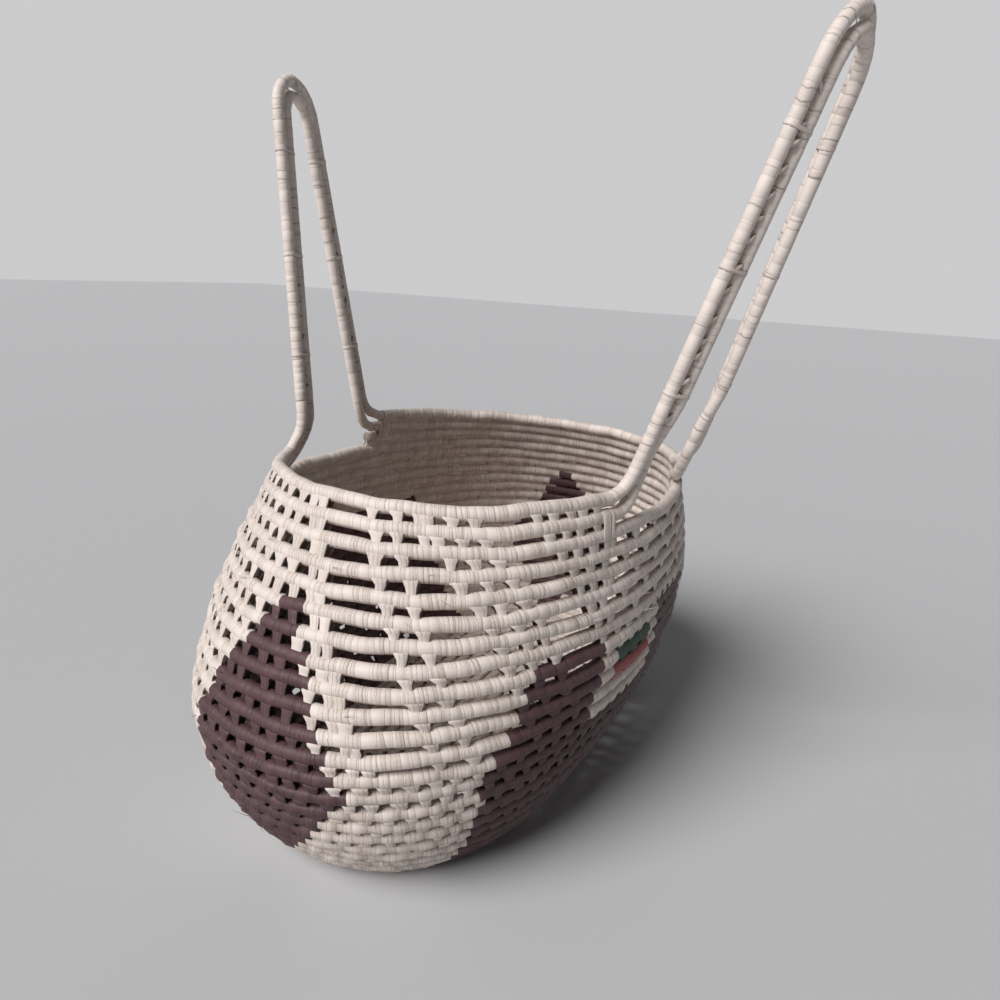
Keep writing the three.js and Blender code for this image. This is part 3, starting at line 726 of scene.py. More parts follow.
def bindings(skin, first, second, direction, rng, widths, thickness, plump_share):
    """Bands of raffia side by side round two cords: one closed loop for each width."""
    between = second - first
    between = unit(between - direction * np.dot(between, direction))
    sideways = np.cross(direction, between)
    angles = np.concatenate([np.linspace(90, 270, BINDING_STEPS), np.linspace(-90, 90, BINDING_STEPS)])
    angles = np.radians(angles)
    ends = np.where(np.arange(angles.size)[:, None] < BINDING_STEPS, first, second)
    outward = np.cos(angles)[:, None] * between + np.sin(angles)[:, None] * sideways
    place = -0.5 * sum(widths)
    for width in widths:
        centre = place + 0.5 * width
        place += width
        radius = plump_share * COIL_RADIUS + rng.uniform(0.0, BINDING_UNEVENNESS)
        lean = rng.normal(0, BINDING_LEAN)
        corners = []
        coords = []
        for side, height in BINDING_SIDES:
            along = centre + side * width * BINDING_OVERLAP + lean * COIL_RADIUS * np.sin(angles)
            corners.append(ends + (radius + height * thickness) * outward + along[:, None] * direction)
            around = np.linspace(0, BINDING_RUN, angles.size)
            coords.append(np.stack(np.broadcast_arrays(side * width, around, lean), -1))
        steps = angles.size
        # Painted shade along both edges of each band
        skin.add(
            np.stack(corners, 1).reshape(-1, 3),
            np.stack(coords, 1).reshape(-1, 3),
            np.tile([BINDING_EDGE, 0.0, 0.0, BINDING_EDGE], steps),
            loop_quads(steps),
            np.full(4 * steps, rng.uniform()),
            np.full(4 * steps, NATURAL),
        )


# Dyed motifs

BELLY_ANGLES = np.linspace(0, 360, BELLY_STEPS)
BELLY_POINTS = wall_point(BELLY_ANGLES, BELLY_HEIGHT)
BELLY_ARC = run_lengths(BELLY_POINTS)
BELLY_ROUND = BELLY_ARC[-1]


def belly_arc(degrees):
    return np.interp(np.mod(degrees, 360), BELLY_ANGLES, BELLY_ARC)


def arc_angle(arc):
    return np.interp(np.mod(arc, BELLY_ROUND), BELLY_ARC, BELLY_ANGLES)


def arc_from(degrees, middle):
    """Signed length along the belly from a motif's middle."""
    apart = belly_arc(degrees) - belly_arc(middle)
    return np.mod(apart + BELLY_ROUND / 2, BELLY_ROUND) - BELLY_ROUND / 2


def motif(turn):
    """The finish of the wall coil at each turn."""
    turn = np.asarray(turn, float)
    degrees = turn_angle(turn)
    finish = np.full(turn.shape, NATURAL)
    ragged = RAGGED_EDGE * np.sin(37.0 * np.floor(turn) ** 2)
    for middles, top_row, top_half, growth, shrink in (
        (END_MOTIFS, END_TOP_ROW, END_TOP_HALF, END_GROWTH, END_SHRINK),
        (SIDE_MOTIFS, SIDE_TOP_ROW, SIDE_TOP_HALF, SIDE_GROWTH, SIDE_SHRINK),
    ):
        for middle in middles:
            past_seam = 0.5 if abs(middle - SEAM_ANGLE) < 90 else 0.0
            row = np.floor(turn + past_seam)
            half = top_half + growth * (top_row - np.maximum(row, WIDEST_ROW))
            half = half - shrink * np.maximum(0, WIDEST_ROW - row)
            dyed = (row <= top_row) & (np.abs(arc_from(degrees, middle)) < half + ragged)
            finish = np.where(dyed, PLUM, finish)
    row = np.floor(turn)
    apart = np.abs(arc_from(degrees, STRIPE_MOTIF))
    rows = (row >= STRIPE_BOTTOM_ROW) & (row <= STRIPE_TOP_ROW)
    finish = np.where(rows & (apart < STRIPE_HALF), NATURAL, finish)
    finish = np.where((row == GREEN_ROW) & (apart < STRIPE_COLOUR_HALF), GREEN, finish)
    return np.where((row == RED_ROW) & (apart < STRIPE_COLOUR_HALF), RED, finish)


# Places of the stitches


def open_columns(row_down):
    """Places along the belly of the stitches in the open stretch of a gap, with its two ends."""
    left = OPEN_START + COLUMN_SHIFT * row_down
    pair = left + FIRST_WINDOW
    share, growth = SECOND_SHARE
    triple = pair + PAIR_STEP + SECOND_WINDOW * min(1.0, share + growth * row_down) + SECOND_SHIFT
    places = [left, pair, pair + PAIR_STEP]
    if row_down < THIRD_STITCH_ROWS:
        places.append(pair + 2 * PAIR_STEP)
    places += [triple + i * TRIPLE_STEP for i in range(3)]
    return places, left, triple + 2 * TRIPLE_STEP + LAST_WINDOW


def gap_places(row, rng):
    """Places along the belly of the stitches in the gap above a row, as lengths."""
    row_down = WALL_ROUNDS - row
    places = []
    spans = []
    if row >= OPEN_LOWEST_ROW:
        stretch, left, right = open_columns(row_down)
        places += stretch
        spans.append((left, right))
        if row >= SPARSE_LOWEST_ROW:
            start = SPARSE_START + 0.5 * SPARSE_SPACING * (row % 2)
            places += np.arange(start, SPARSE_STOP, SPARSE_SPACING).tolist()
            spans.append((SPARSE_START, SPARSE_STOP))
    else:
        spans.append((0.0, 0.0))
    spans.sort()
    for i, (_, right) in enumerate(spans):
        stop = spans[(i + 1) % len(spans)][0]
        if stop <= right:
            stop += BELLY_ROUND
        spacing = UPPER_SPACING if row >= OPEN_LOWEST_ROW else TIGHT_SPACING
        count = max(1, round((stop - right) / spacing))
        offset = ROW_OFFSET * row % 1 if row < OPEN_LOWEST_ROW else 0.5
        places += [right + (stop - right) * (k + offset) / count for k in range(count)]
    places = np.array(places)
    return np.mod(places + rng.normal(0, PLACE_JITTER, places.size), BELLY_ROUND)


def row_turns(row):
    """Turns of the stitches on a row."""
    degrees = arc_angle(gap_places(row, np.random.default_rng(RNG_SEED * 100 + row)))
    return np.sort(row + np.mod(degrees - SEAM_ANGLE, 360) / 360)


def fade(turn, top_and_reach):
    """Falls from one to nothing over a reach of turns that ends at the top."""
    top, reach = top_and_reach
    return smoothstep((top - turn) / reach)


def facing_away(turns):
    """Cosine of the angle on the wall from the middle of the part that faces away."""
    return np.cos(np.radians(turn_angle(turns) - FAR_ANGLE))


def on_far_wall(turns):
    return facing_away(turns) > FAR_COSINE


def plump(turn):
    """How full the coil is, as a share of its radius: the tight lower wall and the stripes close up."""
    share = UPPER_PLUMP + (LOWER_PLUMP - UPPER_PLUMP) * fade(turn, LOWER_FADE)
    tight = (TIGHT_PLUMP - LOWER_PLUMP) * smoothstep((turn - TIGHT_RISE[0]) / TIGHT_RISE[1])
    share = share + tight * fade(turn, TIGHT_FADE)
    away = smoothstep((facing_away(turn) - FAR_COSINE) / FAR_FADE)
    share = share + np.maximum(0, FAR_PLUMP - share) * away * smoothstep(turn - FAR_RISE)
    row = np.floor(turn)
    apart = np.abs(arc_from(turn_angle(turn), STRIPE_MOTIF))
    block = (row >= STRIPE_BOTTOM_ROW) & (row <= STRIPE_TOP_ROW)
    near = np.where(block, smoothstep((STRIPE_HALF + STRIPE_FADE - apart) / STRIPE_FADE), 0.0)
    return share + (STRIPE_PLUMP - share) * near


def squeeze_at(turn):
    """How far a stitch draws in the coil at its turn, as a share of the coil's radius."""
    return OPEN_SQUEEZE + (TIGHT_SQUEEZE - OPEN_SQUEEZE) * fade(turn, SQUEEZE_FADE)


def drawn_in(lengths, places, squeeze):
    """Share of the coil's radius that is left at lengths along it, between stitches at their places."""
    after = np.clip(np.searchsorted(places, lengths), 1, len(places) - 1)
    nearest = np.where(lengths - places[after - 1] < places[after] - lengths, after - 1, after)
    apart = (lengths - places[nearest]) / SQUEEZE_REACH
    return 1 - (1 - squeeze[nearest]) * np.exp(-apart * apart)


# Handles


def rim_turn(degrees):
    return WALL_ROUNDS - 1 + np.mod(degrees - SEAM_ANGLE, 360) / 360


def along_rim(turn, length):
    """The turn that lies a length along the rim: positive runs with the coil."""
    step = np.linalg.norm(coil_point(turn + 0.01, 2) - coil_point(turn - 0.01, 2))
    return turn + 0.02 * length / step


def rim_span(end, reach):
    """First and last turn of a rim round at one end, with a reach past the feet of the handles."""
    first, last = (rim_turn(FOOT_ANGLES[foot]) for foot in RIM_ENDS[end])
    return along_rim(first, -reach), along_rim(last, reach)


class Handle:
    """Place, lean and directions of a handle, as in the solids."""

    def __init__(self, side):
        sign = NEAR_SIGN[side]
        self.side = side
        self.near_turn = rim_turn(FOOT_ANGLES["near_" + side])
        self.far_turn = rim_turn(FOOT_ANGLES["far_" + side])
        self.near_sign = sign
        near = coil_point(along_rim(self.near_turn, sign * FOOT_REACH), 2)
        far = coil_point(along_rim(self.far_turn, -sign * FOOT_REACH), 2)
        along = (far - near) * np.array([1, 1, 0])
        self.half_span = np.linalg.norm(along) / 2
        angle = math.radians(TWIST[side]) + math.atan2(along[1], along[0])
        self.along = np.array([math.cos(angle), math.sin(angle), 0.0])
        out = unit(np.cross(self.along, UP) * sign)
        lean = math.radians(LEAN[side])
        self.lift = math.cos(lean) * UP + math.sin(lean) * out
        self.face = np.cross(self.along, self.lift)
        self.away = math.cos(lean) * out - math.sin(lean) * UP
        self.middle = 0.5 * (near + far) + out * OUTSET[side] + self.lift * HINGE_RISE / self.lift[2]

    def plump(self, lengths):
        return np.full(np.shape(lengths), STRAND_PLUMP[self.side])

    def point(self, across, up, away=0.0):
        place = self.middle + np.multiply.outer(across, self.along) + np.multiply.outer(up, self.lift)
        return place + np.multiply.outer(away, self.away)

    def strand_points(self, inset):
        """Middle line of a strand above its feet; the inner one stands out from the outer one."""
        path = self.arch(inset)
        away = np.zeros(len(path))
        if inset:
            away = STRAND_OUTSET[self.side] * smoothstep(path[:, 1] / OUTSET_RISE)
        return self.point(path[:, 0], path[:, 1], away)

    def arch(self, inset):
        """Flat path of a strand, the inner one by an inset: legs that meet a round crown."""
        half = self.half_span - inset
        radius = CROWN_RADIUS[self.side] - inset
        height = HANDLE_HEIGHT[self.side] - inset
        reach = math.hypot(half, height - radius)
        start = math.atan2(radius - height, -half) + 2 * math.pi - math.acos(radius / reach)
        angles = np.linspace(start, math.pi - start, CROWN_STEPS)
        crown = np.stack([radius * np.cos(angles), height - radius + radius * np.sin(angles)], -1)
        leg = np.linspace([-half, 0.0], crown[0], LEG_STEPS, endpoint=False)
        return np.concatenate([leg, crown, (leg * [-1, 1])[::-1]])

    def foot(self, turn, rim_round, towards, leg):
        """The bend from a rim round up to the foot of a strand."""
        start = coil_point(turn, rim_round)
        ahead = unit(coil_point(turn + towards * 0.002, rim_round) - start)
        reach = FOOT_CURVE * FOOT_REACH
        t = np.linspace(0, 1, FOOT_STEPS, endpoint=False)[:, None]
        second = start + reach * ahead
        third = leg - LEG_CURVE * reach * self.lift
        lower = (1 - t) ** 3 * start + 3 * (1 - t) ** 2 * t * second
        return lower + 3 * (1 - t) * t * t * third + t**3 * leg

    def strand(self, inset):
        """The line of a strand from rim to rim, with both of its feet."""
        rim_round = 1 if inset else 2
        points = self.strand_points(inset)
        sign = self.near_sign
        near_turn = along_rim(self.near_turn, sign * inset)
        far_turn = along_rim(self.far_turn, -sign * inset)
        near = self.foot(near_turn, rim_round, sign, points[0])
        far = self.foot(far_turn, rim_round, -sign, points[-1])
        points = even_points(np.concatenate([near, points, far[::-1]]))
        return Line(points, np.tile(self.face, (len(points), 1)))


def even_points(points):
    """Points at even steps along a line, with its kinks eased."""
    lengths = run_lengths(points)
    even = np.linspace(0, lengths[-1], int(lengths[-1] / LINE_STEP))
    out = read_points(even, lengths, points)
    for _ in range(EASING_PASSES):
        out[1:-1] = 0.25 * out[:-2] + 0.5 * out[1:-1] + 0.25 * out[2:]
    return out


# Settings


class BasketColours(bpy.types.PropertyGroup):
    """Colours of the raffia."""

    natural: bpy.props.FloatVectorProperty(
        name="Natural", description="Undyed raffia", subtype="COLOR", size=3, min=0, max=1,
        default=(0.78, 0.688, 0.63),
    )
    natural_fibre: bpy.props.FloatVectorProperty(
        name="Natural fibre", description="Darker fibres in undyed raffia",
        subtype="COLOR", size=3, min=0, max=1,
        default=(0.55, 0.445, 0.37),
    )
    plum: bpy.props.FloatVectorProperty(
        name="Plum", description="Dark dyed raffia of the motifs", subtype="COLOR", size=3, min=0, max=1,
        default=(0.1, 0.05, 0.054),
    )
    green: bpy.props.FloatVectorProperty(
        name="Green", description="Dyed raffia of the upper stripe", subtype="COLOR", size=3, min=0, max=1,
        default=(0.02, 0.055, 0.035),
    )
    red: bpy.props.FloatVectorProperty(
        name="Red", description="Dyed raffia of the lower stripe", subtype="COLOR", size=3, min=0, max=1,
        default=(0.42, 0.1, 0.1),
    )


class BasketWraps(bpy.types.PropertyGroup):
    """Strips wrapped round the coil."""

    width: bpy.props.FloatProperty(
        name="Strip width", description="Mean width of a wrapped strip",
        unit="LENGTH", default=0.005, min=0.001,
    )
    handle_width: bpy.props.FloatProperty(
        name="Handle strip width", description="Mean width of a strip on the handles",
        unit="LENGTH", default=0.008, min=0.002,
    )
    base_width: bpy.props.FloatProperty(
        name="Base strip width", description="Mean width of a strip under the base",
        unit="LENGTH", default=0.007, min=0.002,
    )
    groove: bpy.props.FloatProperty(
        name="Groove", description="Depth of the groove between strips",
        unit="LENGTH", default=0.00008, min=0,
    )
    unevenness: bpy.props.FloatProperty(
        name="Unevenness", description="How much one strip stands above the next",
        unit="LENGTH", default=0.00003, min=0,
    )


class BasketStitches(bpy.types.PropertyGroup):
    """Strips that sew round to round."""

    top_width: bpy.props.FloatProperty(
        name="Top width", description="Width of a stitch under the upper coil",
        unit="LENGTH", default=0.012, min=0.002,
    )
    waist_width: bpy.props.FloatProperty(
        name="Waist width", description="Width of a stitch where it meets the lower coil",
        unit="LENGTH", default=0.006, min=0.002,
    )
    close_waist: bpy.props.FloatProperty(
        name="Close waist", description="Waist of a stitch in close sewing",
        unit="LENGTH", default=0.0075, min=0.002,
    )
    band_width: bpy.props.FloatProperty(
        name="Band width", description="Width of a stitch round the lower coil",
        unit="LENGTH", default=0.0085, min=0.002,
    )
    thickness: bpy.props.FloatProperty(
        name="Thickness", description="Thickness of a strip",
        unit="LENGTH", default=0.00065, min=0.0002,
    )
    tight_share: bpy.props.FloatProperty(
        name="Tight share", description="Width of a stitch in the tight lower wall, as a share",
        subtype="FACTOR", default=0.8, min=0.2, max=1,
    )


class BasketStage(bpy.types.PropertyGroup):
    """Floor, lamps and camera."""

    floor: bpy.props.FloatVectorProperty(
        name="Floor", description="Colour of the floor", subtype="COLOR", size=3, min=0, max=1,
        default=(0.55, 0.55, 0.56),
    )
    background: bpy.props.FloatVectorProperty(
        name="Background", description="Colour behind the floor", subtype="COLOR", size=3, min=0, max=1,
        default=(0.6, 0.6, 0.61),
    )
    fill: bpy.props.FloatProperty(
        name="Fill", description="Strength of the light from all sides", default=0.06, min=0
    )
    key: bpy.props.FloatProperty(name="Key", description="Strength of the main lamp", default=3.45, min=0)
    key_size: bpy.props.FloatProperty(
        name="Key size", description="Angle that the main lamp fills",
        subtype="ANGLE", default=math.radians(35), min=0,
    )


# Finishes


def link(tree, source, target):
    tree.links.new(source, target)


def attribute(tree, name, output):
    node = tree.nodes.new("ShaderNodeAttribute")
    node.attribute_name = name
    return node.outputs[output]


def maths(tree, operation, first, second):
    node = tree.nodes.new("ShaderNodeMath")
    node.operation = operation
    for socket, value in zip(node.inputs, (first, second)):
        if isinstance(value, (int, float)):
            socket.default_value = value
        else:
            link(tree, value, socket)
    return node.outputs[0]


def around(tree, value, middle_and_share):
    """A share of how far a value lies from its middle."""
    middle, share = middle_and_share
    return maths(tree, "MULTIPLY", maths(tree, "SUBTRACT", value, middle), share)


def mixed(tree, share, first, second):
    node = tree.nodes.new("ShaderNodeMix")
    node.data_type = "RGBA"
    link(tree, share, node.inputs["Factor"])
    link(tree, first, node.inputs["A"])
    link(tree, second, node.inputs["B"])
    return node.outputs["Result"]


def strip_noise(tree, scale, detail):
    """Noise in the coordinates of a strip, stretched along its fibres."""
    stretch = tree.nodes.new("ShaderNodeVectorMath")
    stretch.operation = "MULTIPLY"
    link(tree, attribute(tree, "strip", "Vector"), stretch.inputs[0])
    stretch.inputs[1].default_value = scale
    noise = tree.nodes.new("ShaderNodeTexNoise")
    noise.inputs["Scale"].default_value = 1.0
    noise.inputs["Detail"].default_value = detail
    link(tree, stretch.outputs[0], noise.inputs["Vector"])
    return noise.outputs["Fac"]


def split_lines(tree):
    """Thin dark lines at uneven distances, where a strip lies edge to edge with itself or has split."""
    apart = tree.nodes.new("ShaderNodeSeparateXYZ")
    link(tree, attribute(tree, "strip", "Vector"), apart.inputs[0])
    cells = tree.nodes.new("ShaderNodeTexVoronoi")
    cells.voronoi_dimensions = "1D"
    cells.feature = "DISTANCE_TO_EDGE"
    cells.inputs["Scale"].default_value = HAIRLINE_SCALE
    wander = maths(tree, "MULTIPLY", strip_noise(tree, WANDER_SCALE, 1.0), HAIRLINE_WANDER)
    link(tree, maths(tree, "ADD", apart.outputs["X"], wander), cells.inputs["W"])
    line = tree.nodes.new("ShaderNodeMapRange")
    line.interpolation_type = "SMOOTHSTEP"
    link(tree, cells.outputs["Distance"], line.inputs["Value"])
    line.inputs["From Min"].default_value, line.inputs["From Max"].default_value = HAIRLINE_WIDTHS
    line.inputs["To Min"].default_value = 1.0
    line.inputs["To Max"].default_value = 0.0
    depth = strip_noise(tree, DEPTH_SCALE, 1.0)
    return maths(tree, "MULTIPLY", line.outputs["Result"], maths(tree, "MULTIPLY", depth, SPLIT_DEPTH))


def raffia_grain():
    """Node group: the colour, roughness and height of split raffia, with shade painted into the seams."""
    found = bpy.data.node_groups.get("Raffia Grain")
    if found:
        return found
    group = bpy.data.node_groups.new("Raffia Grain", "ShaderNodeTree")
    for name in ("Strip Colour", "Fibre Colour", "Seam Colour"):
        group.interface.new_socket(name, in_out="INPUT", socket_type="NodeSocketColor")
    group.interface.new_socket("Colour", in_out="OUTPUT", socket_type="NodeSocketColor")
    group.interface.new_socket("Roughness", in_out="OUTPUT", socket_type="NodeSocketFloat")
    group.interface.new_socket("Height", in_out="OUTPUT", socket_type="NodeSocketFloat")
    inputs = group.nodes.new("NodeGroupInput")
    outputs = group.nodes.new("NodeGroupOutput")
    fibre = strip_noise(group, FIBRE_SCALE, 3.0)
    blotch = strip_noise(group, BLOTCH_SCALE, 2.0)
    tone = attribute(group, "tone", "Fac")
    seam = attribute(group, "seam", "Fac")
    worn = group.nodes.new("ShaderNodeMapRange")
    link(group, tone, worn.inputs["Value"])
    worn.inputs["From Min"].default_value, worn.inputs["From Max"].default_value = WORN_TONES
    hairline = maths(group, "MULTIPLY", split_lines(group), worn.outputs["Result"])
    share = around(group, fibre, FIBRE_SHARE)
    share = maths(group, "ADD", share, around(group, tone, TONE_SHARE))
    share = maths(group, "ADD", share, around(group, blotch, BLOTCH_SHARE))
    clamp = group.nodes.new("ShaderNodeClamp")
    link(group, share, clamp.inputs["Value"])
    colour = mixed(group, clamp.outputs[0], inputs.outputs["Strip Colour"], inputs.outputs["Fibre Colour"])
    # Painted shade: the seam attribute darkens the colour towards the seam colour, then the dark split
    # lines are added
    seam_shade_and_splits = maths(group, "MULTIPLY", maths(group, "POWER", seam, SEAM_SHADE_POWER), SEAM_SHADE)
    seam_shade_and_splits = maths(group, "MAXIMUM", seam_shade_and_splits, maths(group, "MULTIPLY", hairline, HAIRLINE_DIRT))
    link(group, mixed(group, seam_shade_and_splits, colour, inputs.outputs["Seam Colour"]), outputs.inputs["Colour"])
    rough = maths(group, "ADD", maths(group, "MULTIPLY", fibre, FIBRE_ROUGHNESS), LEAST_ROUGHNESS)
    link(group, rough, outputs.inputs["Roughness"])
    height = maths(group, "ADD", fibre, maths(group, "MULTIPLY", blotch, BLOTCH_HEIGHT))
    height = maths(group, "SUBTRACT", height, maths(group, "MULTIPLY", hairline, HAIRLINE_HEIGHT))
    link(group, height, outputs.inputs["Height"])
    return group


def raffia(name, strip, fibre, seam):
    """A raffia finish in one colour."""
    found = bpy.data.materials.get(name)
    if found:
        return found
    material = bpy.data.materials.new(name)
    material.use_nodes = True
    tree = material.node_tree
    shader = tree.nodes["Principled BSDF"]
    grain = tree.nodes.new("ShaderNodeGroup")
    grain.node_tree = raffia_grain()
    for socket, colour in (("Strip Colour", strip), ("Fibre Colour", fibre), ("Seam Colour", seam)):
        grain.inputs[socket].default_value = (*colour, 1)
    bump = tree.nodes.new("ShaderNodeBump")
    bump.inputs["Strength"].default_value = BUMP_STRENGTH
    bump.inputs["Distance"].default_value = BUMP_DISTANCE
    link(tree, grain.outputs["Colour"], shader.inputs["Base Color"])
    link(tree, grain.outputs["Roughness"], shader.inputs["Roughness"])
    link(tree, grain.outputs["Height"], bump.inputs["Height"])
    link(tree, bump.outputs["Normal"], shader.inputs["Normal"])
    shader.inputs["Specular IOR Level"].default_value = SPECULAR_LEVEL
    return material


def shade(colour, share):
    return tuple(share * c for c in colour)


def finishes(context):
    """The four finishes, in the order of their slots."""
    colours = context.scene.basket_colours
    fibre = colours.natural_fibre
    # Each finish gets a darkened copy of its colour for the shade painted into its seams
    made = [raffia("Natural Raffia", colours.natural, fibre, shade(fibre, NATURAL_SEAM_SHADE))]
    for name, colour, share in (
        ("Plum Raffia", colours.plum, PLUM_FIBRE),
        ("Green Raffia", colours.green, STRIPE_FIBRE),
        ("Red Raffia", colours.red, STRIPE_FIBRE),
    ):
        made.append(raffia(name, colour, shade(colour, share), shade(colour, DYED_SEAM_SHADE)))
    return made


def plain(lengths):
    return np.full(np.shape(lengths), NATURAL)


# Operators


class BASKET_OT_base(bpy.types.Operator):
    """Wind the base: a straight core that turns back on itself, then rounds out to the wall"""

    bl_idname = "basket.base"
    bl_label = "Base"

    def execute(self, context):
        rng = np.random.default_rng(RNG_SEED)
        line = base_line()
        skin = Skin()
        wraps = context.scene.basket_wraps
        wrapped_tube(skin, line, rng, wraps, plain, wraps.base_width)
        piece = skin.piece("base", finishes(context))
        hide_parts("base_coil")
        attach(piece, "basket")
        return {"FINISHED"}


def base_radius(turn):
    return BASE_HALF_WIDTH + BASE_STEP * turn


def base_spiral(turn):
    straight = BASE_HALF_LENGTH - BASE_HALF_WIDTH
    x, y = stadium_point(turn_angle(turn), straight, base_radius(turn))
    return np.stack([x, y, np.full(np.shape(turn), WALL_START)], -1)


def base_line():
    straight = BASE_HALF_LENGTH - BASE_HALF_WIDTH
    side_turn = SIDE_ANGLE / 360
    rounds = BASE_ROUNDS
    core_start = 0.5 * (base_radius(side_turn - rounds) - base_radius(0.5 - side_turn - rounds))
    core_end = 0.5 * (base_radius(-side_turn - rounds) - base_radius(0.5 + side_turn - rounds))
    first = [COIL_RADIUS - straight, core_start, WALL_START]
    last = [straight, core_end, WALL_START]
    core = np.linspace(first, last, CORE_STEPS, endpoint=False)
    bend_top = base_radius(-side_turn - rounds)
    angles = np.linspace(-math.pi / 2, math.pi / 2, BEND_STEPS, endpoint=False)
    radius = 0.5 * (bend_top - core_end)
    bend_x = straight + radius * np.cos(angles)
    bend_y = 0.5 * (bend_top + core_end) + radius * np.sin(angles)
    bend = np.stack([bend_x, bend_y, np.full(BEND_STEPS, WALL_START)], -1)
    spiral = base_spiral(np.linspace(-side_turn - rounds, BASE_STOP, rounds * BASE_STEPS_PER_TURN))
    points = even_points(np.concatenate([core, bend, spiral]))
    return Line(points, np.tile(-UP, (len(points), 1)))


class BASKET_OT_wall(bpy.types.Operator):
    """Wind the wall coil in its two lengths, with dyed wraps where the motifs are"""

    bl_idname = "basket.wall"
    bl_label = "Wall"

    def execute(self, context):
        rng = np.random.default_rng(RNG_SEED + 1)
        for name, node, start, stop in (
            ("lower_wall", "lower_wall_coil", 0.0, LOWER_COIL_ROUNDS),
            ("upper_wall", "upper_wall_coil", LOWER_COIL_ROUNDS, COIL_END),
        ):
            turns = np.linspace(start, stop, int((stop - start) * LINE_STEPS_PER_TURN))
            line = Line(coil_point(turns), coil_normal(turns))
            skin = Skin()

            def finish_at(lengths):
                return motif(np.interp(lengths, line.lengths, turns))

            sewn = np.concatenate([row_turns(row) for row in range(math.floor(start), math.ceil(stop))])
            sewn_lengths = np.interp(sewn, turns, line.lengths)
            squeeze = squeeze_at(sewn)

            def pinch(lengths):
                full = plump(np.interp(lengths, line.lengths, turns))
                return full * drawn_in(lengths, sewn_lengths, squeeze)

            # Painted shade in the dips where the stitches draw the coil in
            def notch(lengths):
                return NOTCH_SHADE * (1 - drawn_in(lengths, sewn_lengths, squeeze))

            wrapped_tube(skin, line, rng, context.scene.basket_wraps, finish_at, pinch=pinch, notch=notch)
            piece = skin.piece(name, finishes(context))
            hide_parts(node)
            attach(piece, "basket")
        return {"FINISHED"}


def rim_plump(lengths):
    return np.full(np.shape(lengths), UPPER_PLUMP)


class BASKET_OT_rim(bpy.types.Operator):
    """Wind the last two rounds of the rim at the near and the far end"""

    bl_idname = "basket.rim"
    bl_label = "Rim"

    def execute(self, context):
        rng = np.random.default_rng(RNG_SEED + 2)
        wraps = context.scene.basket_wraps
        for end in RIM_ENDS:
            for row, rim_round, inset in (("rim_round", 2, 0.0), ("second_round", 1, STRAND_STEP)):
                first, last = rim_span(end, inset)
                turns = np.linspace(first, last, int((last - first) * LINE_STEPS_PER_TURN))
                line = Line(coil_point(turns, rim_round), coil_normal(turns, rim_round))
                skin = Skin()
                wrapped_tube(skin, line, rng, wraps, plain, pinch=rim_plump)
                piece = skin.piece(f"{end}_{row}", finishes(context))
                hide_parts(f"{end}_end_{row}")
                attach(piece, "basket")
        return {"FINISHED"}


class BASKET_OT_stitches(bpy.types.Operator):
    """Sew every round to the round below it, stitch by stitch"""

    bl_idname = "basket.stitches"
    bl_label = "Stitches"

    def execute(self, context):
        rng = np.random.default_rng(RNG_SEED + 3)
        stitches = context.scene.basket_stitches
        lower = Skin()
        upper = Skin()
        for row in range(WALL_ROUNDS - 1):
            turns = row_turns(row)
            turns = turns[turns < COIL_END - 1]
            loose = smoothstep((row - TIGHT_ROWS[0]) / TIGHT_ROWS[1])
            share = stitches.tight_share + (1 - stitches.tight_share) * loose
            skin = lower if row < LOWER_COIL_ROUNDS else upper
            sew(skin, turns, 0, turns + 1, 0, rng, stitch_sizes(turns, stitches, share), motif(turns + 1))
        for turns, rim_round in rim_stitches():
            sizes = stitch_sizes(turns, stitches, RIM_SHARE)
            sew(upper, turns, rim_round, turns, rim_round + 1, rng, sizes, plain(turns))
        stray_fibres(lower, rng, FIBRE_FIRST_ROUND, LOWER_COIL_ROUNDS)
        stray_fibres(upper, rng, LOWER_COIL_ROUNDS, WALL_ROUNDS - 1)
        nodes = [f"stitch_line_{number:02d}" for number in range(1, 25)]
        pieces = (("lower_stitches", lower, nodes[:12]), ("upper_stitches", upper, nodes[12:]))
        for name, skin, replaced in pieces:
            piece = skin.piece(name, finishes(context))
            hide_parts(*replaced)
            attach(piece, "basket")
        return {"FINISHED"}


def stitch_sizes(turns, stitches, share):
    """Widths at top, waist and band; stitches in close sewing and on the far wall keep a wide waist."""
    if turns.size == 0:
        return np.zeros((3, 0))
    apart = np.diff(turns, prepend=turns[0] - 1, append=turns[-1] + 1) * BELLY_ROUND
    close = np.minimum(apart[:-1], apart[1:]) < CLOSE_SPACING
    waist = np.where(close, stitches.close_waist, stitches.waist_width)
    waist = np.where(on_far_wall(turns), FAR_WAIST, waist)
    share = np.where(on_far_wall(turns), 1.0, share)
    top = np.where(close, CLOSE_TOP_SHARE, 1.0) * stitches.top_width
    return share * np.stack([np.maximum(top, waist), waist, np.full(turns.size, stitches.band_width)])


